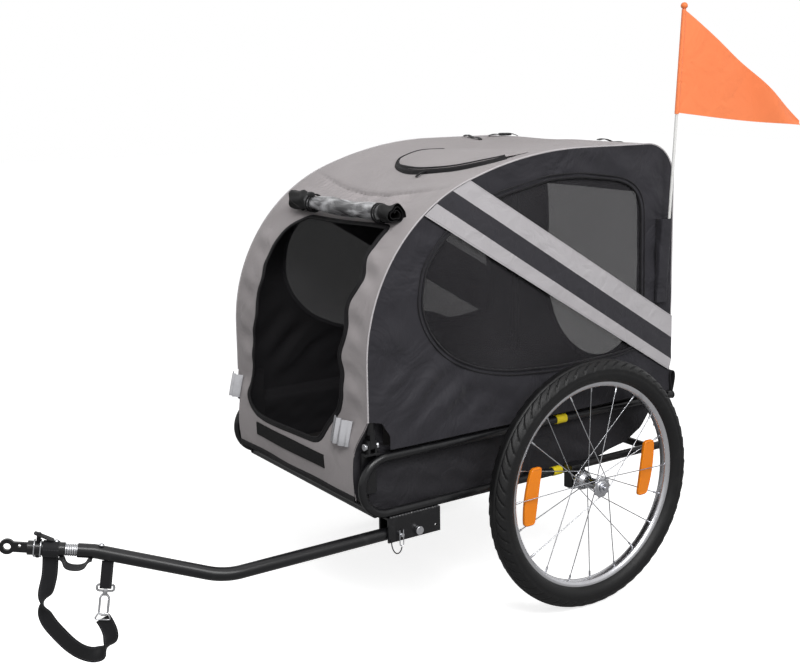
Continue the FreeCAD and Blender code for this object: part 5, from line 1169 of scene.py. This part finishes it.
# Side panels: charcoal coated polyester on each hoop with a large mesh window. Two light grey stripes with a dark
# one between them are sewn across panel and window, double piping binds the window, and a thin light piping
# runs along the seam to the canopy.
charcoal = cloth("charcoal_cloth", (50, 49, 54), (36, 35, 40), crease=10, depth=0.012, rough=0.58, sheen=0.12,
                 twill=0.2)
light_piping = cloth("light_piping", (196, 192, 194), (170, 166, 168), pitch=0.0012, rough=0.7)
dark_piping = cloth("dark_piping", (26, 25, 28), (38, 37, 41), pitch=0.0012, rough=0.55)
stripe_cloth = cloth("stripe_cloth", (190, 187, 190), (172, 168, 171), crease=26, depth=0.003, rough=0.6, sheen=0.3,
                     twill=0.1, stitched=(0.0025, 0.112), seam=(150, 147, 150))
DARK_FROM, DARK_TO, STRIPE_WIDE = 0.0449, 0.0874, 0.1145
tree, shader = tree_of(stripe_cloth)
across = add(tree, "SeparateXYZ", {0: add(tree, "TexCoord").outputs["UV"]}).outputs[1]
dark_run = maths(tree, "MULTIPLY", maths(tree, "GREATER_THAN", across, DARK_FROM),
                 maths(tree, "LESS_THAN", across, DARK_TO))
grey_stripe = shader.inputs["Base Color"].links[0].from_socket
fill(tree, shader, {"Base Color": blended(tree, dark_run, grey_stripe, linear(52, 51, 56))})

window_spots = [(345, 696), (355, 625), (336, 577), (293, 530), (224, 498), (153, 483), (29, 475), (-103, 478),
                (-172, 484), (-188, 505), (-184, 780), (-165, 812), (-125, 829), (-20, 841), (56, 840), (129, 825),
                (199, 811), (267, 776), (312, 738), (345, 696)]
window_ring = eased_ring(spaced(window_spots, 220), 14)
hub_spot = np.array([80.0, 655.0])
HEM_Z, HEM_FRONT, HEM_REAR = 379, 424, -273.7
around_hoop = np.concatenate([[[HEM_FRONT, HEM_Z], [HEM_FRONT, 404], [441, 430], [467.5, 437]], hoop_outline(9.0),
                              [[HEM_REAR, HEM_Z]]])
panel_edge = np.concatenate([spaced(around_hoop, 400), [[HEM_REAR, HEM_Z]],
                             np.stack([np.linspace(-250, HEM_FRONT, 90)[:-1], np.full(89, HEM_Z)], -1)])


def reach_of(line, headings):
    """How far a closed line lies from the panel's middle along each heading."""
    arm = line - hub_spot
    angle = np.arctan2(arm[:, 1], arm[:, 0])
    order = np.argsort(angle)
    return np.interp(headings, angle[order], np.linalg.norm(arm, axis=1)[order], period=2 * np.pi)


arm = panel_edge - hub_spot
headings = np.sort(np.arctan2(arm[:, 1], arm[:, 0]))
rays = np.stack([np.cos(headings), np.sin(headings)], -1)
panel_in, panel_out = reach_of(window_ring, headings), reach_of(panel_edge, headings)


def panel_bulge(x, z, seed):
    """How far the panel's cloth stands off its plane: soft folds, with slanted ones towards the lower front corner,
    fading out at the hoop and at the window's bound edge."""
    corner = np.exp(-(((x - 330) / 130) ** 2 + ((z - 470) / 70) ** 2))
    slant = np.sin((x * 0.8 + z * 1.25) / 15 + 1.6 * np.sin(x / 60))
    upper = np.exp(-((z - 850) / 30) ** 2)
    skirt = np.exp(-((z - 425) / 30) ** 2)
    sewn_on = smooth(z - 448 - 0.61 * (x + 268), -70, -30) * smooth(-(z - 538 - 0.63 * (x + 273)), -40, 0)
    soft = 4.0 * ripple(x, 1.4 * z, seed, 320, 50) + 5.0 * corner * slant + 1.8 * upper * np.sin((x - 0.8 * z) / 19)
    return (soft + 2.2 * skirt * np.sin((x + 0.5 * z) / 13 + np.sin(x / 47))) * (1 - 0.85 * sewn_on)


for hand, sign in SIDES:
    body = f"{hand}_side"

    def hung(piece):
        """Cloth on the hoop, with its placement baked into its mesh."""
        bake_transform(piece)

    def stood(field, stand):
        """Places of the panel's plane, at a distance from the trailer's mid-plane."""
        return place(field[..., 0], sign * stand, field[..., 1])

    inner = (-0.2, 0, 0.6)
    share = np.linspace(0, 1, 20)[:, None]
    field = hub_spot + rays[None] * (panel_out * (1 - share) + panel_in * share)[..., None]
    tight = np.sin(np.pi * np.clip(share, 0.02, 0.98)) ** 0.6
    stand = 257.0 + np.clip(panel_bulge(field[..., 0], field[..., 1], 40 + sign), -2.4, 6.5) * tight
    panel = sewn(f"{hand}_panel_cloth", [(stood(field, stand), ROUND, field / 1000)], inner, 0.0013,
                 [charcoal, lining])
    hung(panel)
    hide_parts(f"{hand}_side_panel")
    laid_sheet(panel, 0.745, 0.52, "stretched", [f"{hand}_hoop"])

    share = np.linspace(0.003, 1, 24)[:, None]
    edge = window_ring - hub_spot
    field = hub_spot + edge[None] * (1.03 * share)[..., None]
    sag = 1.2 * ripple(field[..., 0], field[..., 1], 60 + sign, 300, 80) * (1 - share ** 3) - 1.5 * (1 - share ** 2)
    grid = stood(field, 254.6 + np.clip(sag, -3.5, 0.2))
    pane_net = sewn(f"{hand}_window_net", [(grid, ROUND, field / 1000)], inner, 0.0005,
                    [black_net if hand == "left" else dense_net])
    hung(pane_net)
    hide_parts(f"{hand}_window_mesh")
    laid_sheet(pane_net, 0.56, 0.378, "stretched", [panel])

    for number, (distance, radius, stand) in enumerate(((0.5, 0.0023, 257.6), (9.0, 0.0017, 258.0))):
        line = stood(window_ring + unit(edge) * distance, stand)
        hung(tube(f"{hand}_window_piping_{number}", line, radius, dark_piping, flats=10, closed=True))
    seam_line = stood(hoop_outline(9.8), 256.2)
    hung(tube(f"{hand}_seam_piping", seam_line, 0.0017, light_piping, flats=10))

    hoop_edge = hoop_outline(9.4)
    fore = [np.argmin(np.abs(hoop_edge[:, 0] - x) + 1e3 * (hoop_edge[:, 1] < 600)) for x in (245, 287, 322, 348)]
    across = np.array([0, DARK_FROM, DARK_TO, STRIPE_WIDE])
    v = np.unique(np.r_[np.linspace(0, STRIPE_WIDE, 25), across])
    rear_edge = np.array([(-273.6, 538), (-273.6, 492), (-273.6, 446), (-268, 424)])
    front_spots, rear_spots = (np.stack([np.interp(v, across, column) for column in spots.T], -1)
                               for spots in (hoop_edge[fore], rear_edge))
    u = np.linspace(0, 1, 90)[:, None, None]
    field = front_spots[None] * (1 - u) + rear_spots[None] * u
    stand = 261.2 + np.clip(0.9 * ripple(field[..., 0], field[..., 1], 77, 160, 30), -0.9, 1.4)
    chart = np.stack(np.broadcast_arrays(np.linspace(0, 0.63, 90)[:, None], v[None]), -1)
    stripe = surface(f"{hand}_stripe_cloth", stood(field, stand), [stripe_cloth], None, thick=0.001,
                     out=np.array([0, sign, 0]), uv=chart)
    hung(stripe)
    laid_sheet(stripe, 0.64, 0.118, "stretched", [panel])

# Roof straps: short pieces of black webbing sewn on near the rear of the roof, two of them with a small moulded
# buckle, where the roll-up cover is fastened, and a webbing loop at the left rear corner of the frame.
buckle_black = hard_finish("buckle_black", (24, 24, 26), (44, 44, 46), 0.38, 0.55, grain=0.08, pitch=120)
strap_from = np.array([(-120, -252), (-160, -214), (-200, 112)])
strap_to = np.array([(-101, -166), (-216, -178), (-262, 136)])
for number, (start, end, wide) in enumerate(zip(strap_from, strap_to, (0.008, 0.02, 0.02))):
    share = np.linspace(0, 1, 40)
    spots = start * (1 - share[:, None]) + end * share[:, None]
    s = run_over(spots[:, 0])
    lift = 2.0 + 2.5 * np.sin(np.pi * share) + 1.5 * np.sin(3 * np.pi * share)
    line = canopy(s, spots[:, 1] / half_at(s), lift)
    aside = np.array([-(end - start)[1], (end - start)[0], 0.0])
    folds_down(band(f"roof_strap_{number}", line, aside, wide, 0.0016))
    if number:
        lat, lon = globe(22, 44)
        length, breadth = unit((end - start).astype(float)), unit(aside[:2])
        u, v = 15 * puffed(np.cos(lat)) * puffed(np.cos(lon)), 10 * puffed(np.cos(lat)) * puffed(np.sin(lon))
        spot = line[22] * 1000
        block = np.stack([spot[0] + u * length[0] + v * breadth[0], spot[1] + u * length[1] + v * breadth[1],
                          spot[2] + 1.0 + 3.0 * puffed(np.sin(lat)) + 0 * lon], -1) / 1000
        buckle = surface(f"roof_buckle_{number}", block, [buckle_black], None, ROUND, weld=True, sharp=70)
        folds_down(buckle)
turn = full_turn(48)
loop_line = place(-279 + 5.5 * np.cos(turn) + 2 * np.sin(2 * turn), 252, 398 + 22 * np.sin(turn))
flat_section = np.array([(-1, -1), (1, -1), (1, 1), (-1, 1)]) * (0.010, 0.0008)
rear_loop = surface("rear_webbing_loop", carried(loop_line, flat_section, (0, 1, 0), True), [webbing], "chassis",
                    CLOSED, sharp=50)

# Safety flag: a white glass-fibre pole in a cloth sleeve at the left rear, with a bright orange pennant of thin
# nylon, given a faint painted glow, and a small round end cap.
pole_white = hard_finish("pole_white", (236, 236, 234), (206, 205, 200), 0.35, 0.5, pitch=40)
cap_orange = hard_finish("cap_orange", (246, 132, 74), (236, 118, 62), 0.35, 0.5, pitch=60)
shown("flag_pole", pole_white)
ball_low, ball_high = (np.array(c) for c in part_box("flag_ball"))
lat, lon = globe(18, 28)
centre, size = (ball_low + ball_high) / 2, (ball_high - ball_low) / 2
ball_grid = np.stack([np.cos(lat) * np.cos(lon), np.cos(lat) * np.sin(lon), np.sin(lat) + 0 * lon], -1)
ball = surface("flag_end_cap", centre + size * ball_grid, [cap_orange], "flag_pole", ROUND, weld=True)
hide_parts("flag_ball")
glowing_orange_nylon = cloth("glowing_orange_nylon", (255, 144, 92), (252, 132, 80), pitch=0.0008, crease=18, depth=0.003, rough=0.6,
                     sheen=0.3, twill=0.1)
# Painted light: the pennant's nylon, and the sleeve made of it, glow faintly orange though no lamp is in them.
fill(*tree_of(glowing_orange_nylon), {"Emission Strength": 0.08, "Emission Color": linear(250, 110, 50)})
POLE_X, POLE_Y, POLE_FOOT, LEAN = -247.0, 262.9, 578.0, np.tan(np.radians(4))


def on_pole(z):
    """The pole's middle at a height, in millimetres: it leans outwards in proportion to the height over its foot."""
    z = np.asarray(z, float)
    return np.stack([POLE_X + 0 * z, POLE_Y + (z - POLE_FOOT) * LEAN, z], -1)


FLY, HOIST = 311, 200
fly = np.array([-np.cos(np.radians(10)), np.sin(np.radians(10)), 0.0])
t = np.linspace(0, 1, 60)[:, None]
h = np.linspace(0, 1, 34)[None, :]
hoist = on_pole(958 + HOIST * h)
tip = on_pole(960) + fly * FLY + (0, 0, -30.0)
free = tip + np.array([0, 0, 1.0]) * ((h - 0.5) * 8)[..., None]
field = hoist * (1 - t[..., None]) + free * t[..., None]
wave = 8 * t ** 0.7 * np.sin(2 * np.pi * (1.35 * t + 0.22 * h)) * (1 - 0.35 * t)
wave = wave + 3 * np.sin(2 * np.pi * (2.6 * t + 0.5 * h)) * t
belly = 7 * np.sin(np.pi * t) * h - 3 * np.sin(np.pi * t) * (1 - h)
bellied = field + np.stack([0 * wave, wave, belly], -1) + 3.4 * fly
pennant = surface("pennant_nylon", place(*np.moveaxis(bellied, -1, 0)), [glowing_orange_nylon], "flag_pole", thick=0.0005,
                  out=np.array([0, 1.0, 0]),
                  uv=np.stack(np.broadcast_arrays(t * FLY / 1000, h * HOIST / 1000 * (1 - 0.9 * t)), -1))
sleeve_line = place(*on_pole(np.linspace(956, 1160, 30)).T)
sleeve = tube("pennant_sleeve", sleeve_line, 0.0044, glowing_orange_nylon, "flag_pole", flats=16)
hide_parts("flag_pennant")
laid_sheet(pennant, 0.2, 0.32, "hung", ["flag_pole"], with_pieces=[sleeve])
POCKET_X, POCKET_BACK = -238.3, 257.8
level = np.linspace(572, 745, 40)[:, None]
turn = full_turn(40)[None, :]
deep = on_pole(level)[..., 1] + 5.2
middle_y, half_y = (deep + POCKET_BACK) / 2, (deep - POCKET_BACK) / 2
pocket_y = middle_y + half_y * puffed(np.sin(turn)) + 0.5 * ripple(turn * 20, level, 3, 80, 30)
pocket_grid = place(POCKET_X + 14 * puffed(np.cos(turn)) + 0 * level, pocket_y, level + 0 * turn)
pocket = surface("flag_pocket_cloth", pocket_grid, [charcoal], "left_side", ROUND, thick=0.0012,
                 out=pocket_grid - place(POCKET_X, middle_y, level))
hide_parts("flag_pocket")
laid_sheet(pocket, 0.09, 0.175, "stretched", ["left_side_panel"])

# Studio: a white floor that keeps a faint shadow of the trailer, soft light from large panels above, and the
# camera of the photograph.
floor_white, tree, shader = fresh("floor_white")
mottle = add(tree, "TexNoise", {"Vector": add(tree, "TexCoord").outputs["Object"], "Scale": 3.0}).outputs[0]
direct = add(tree, "LightPath").outputs["Is Camera Ray"]
pale = blended(tree, mottle, (0.93, 0.93, 0.93, 1), (0.95, 0.95, 0.95, 1))
fill(tree, shader, {"Base Color": blended(tree, direct, (0.4, 0.4, 0.4, 1), pale),
                    "Emission Color": blended(tree, direct, (0, 0, 0, 1), (0.75, 0.75, 0.75, 1)),
                    "Roughness": 0.9, "Emission Strength": 1.0})
FLOOR_REACH, FLOOR_Z = 14, -0.0005
reach = np.linspace(-FLOOR_REACH, FLOOR_REACH, 3)
floor_spots = np.pad(lattice(reach, reach), ((0, 0), (0, 0), (0, 1)), constant_values=FLOOR_Z)
floor_mesh = bpy.data.meshes.new("studio_floor")
floor_mesh.from_pydata(floor_spots.reshape(-1, 3).tolist(), [],
                       [[0, 3, 4, 1], [1, 4, 5, 2], [3, 6, 7, 4], [4, 7, 8, 5]])
floor_mesh.materials.append(floor_white)
studio_floor = linked("studio_floor", floor_mesh)

world = bpy.data.worlds.new("studio")
bpy.context.scene.world = world
world.use_nodes = True
tree = world.node_tree
ray = add(tree, "LightPath").outputs
seen = maths(tree, "MAXIMUM", ray["Is Camera Ray"], ray["Is Transmission Ray"])
glossy = maths(tree, "MULTIPLY_ADD", ray["Is Glossy Ray"], 0.5, 0.28)
fill(tree, tree.nodes["Background"], {"Color": (1, 1, 1, 1), "Strength": maths(tree, "MAXIMUM", seen, glossy)})
for name, spot, aim, size, power in (("side", (-0.2, 3.6, 3.0), (0, 0, 0.5), 2.0, 80),
                                     ("top", (-0.4, 0.2, 4.2), (0, 0, 0), 3.0, 20),
                                     ("front", (1.1, 1.7, 2.5), (0.2, 0.2, 0.6), 1.0, 34)):
    lamp = bpy.data.lights.new(name, "AREA")
    lamp.energy, lamp.size = power, size
    holder = linked(name, lamp)
    holder.location = spot
    toward = Vector(aim) - Vector(spot)
    holder.rotation_euler = toward.to_track_quat("-Z", "Y").to_euler()

yaw, pitch, roll_turn = np.radians([-124.986, 9.343, 0.686])
forward = np.array([np.cos(pitch) * np.cos(yaw), np.cos(pitch) * np.sin(yaw), -np.sin(pitch)])
right = np.array([np.sin(yaw), -np.cos(yaw), 0])
down = np.cross(forward, right)
right_rolled = np.cos(roll_turn) * right + np.sin(roll_turn) * down
down_rolled = -np.sin(roll_turn) * right + np.cos(roll_turn) * down
PHOTO_WIDE, PHOTO_HIGH, FOCAL, CENTRE_X, CENTRE_Y = 800, 663, 1225, 437, 278
lens = bpy.data.cameras.new("photo_camera")
lens.sensor_width, lens.lens = 36, 36 * FOCAL / PHOTO_WIDE
lens.shift_x = (PHOTO_WIDE / 2 - CENTRE_X) / PHOTO_WIDE
lens.shift_y = (CENTRE_Y - PHOTO_HIGH / 2) / PHOTO_WIDE
viewer = linked("photo_camera", lens)
pose = np.eye(4)
camera_at = (1.3024, 2.0320, 1.0352)
pose[:3] = np.stack([right_rolled, -down_rolled, -forward, camera_at], -1)
viewer.matrix_world = Matrix(pose.tolist())
bpy.context.scene.camera = viewer
bpy.context.scene.view_settings.view_transform = "Standard"
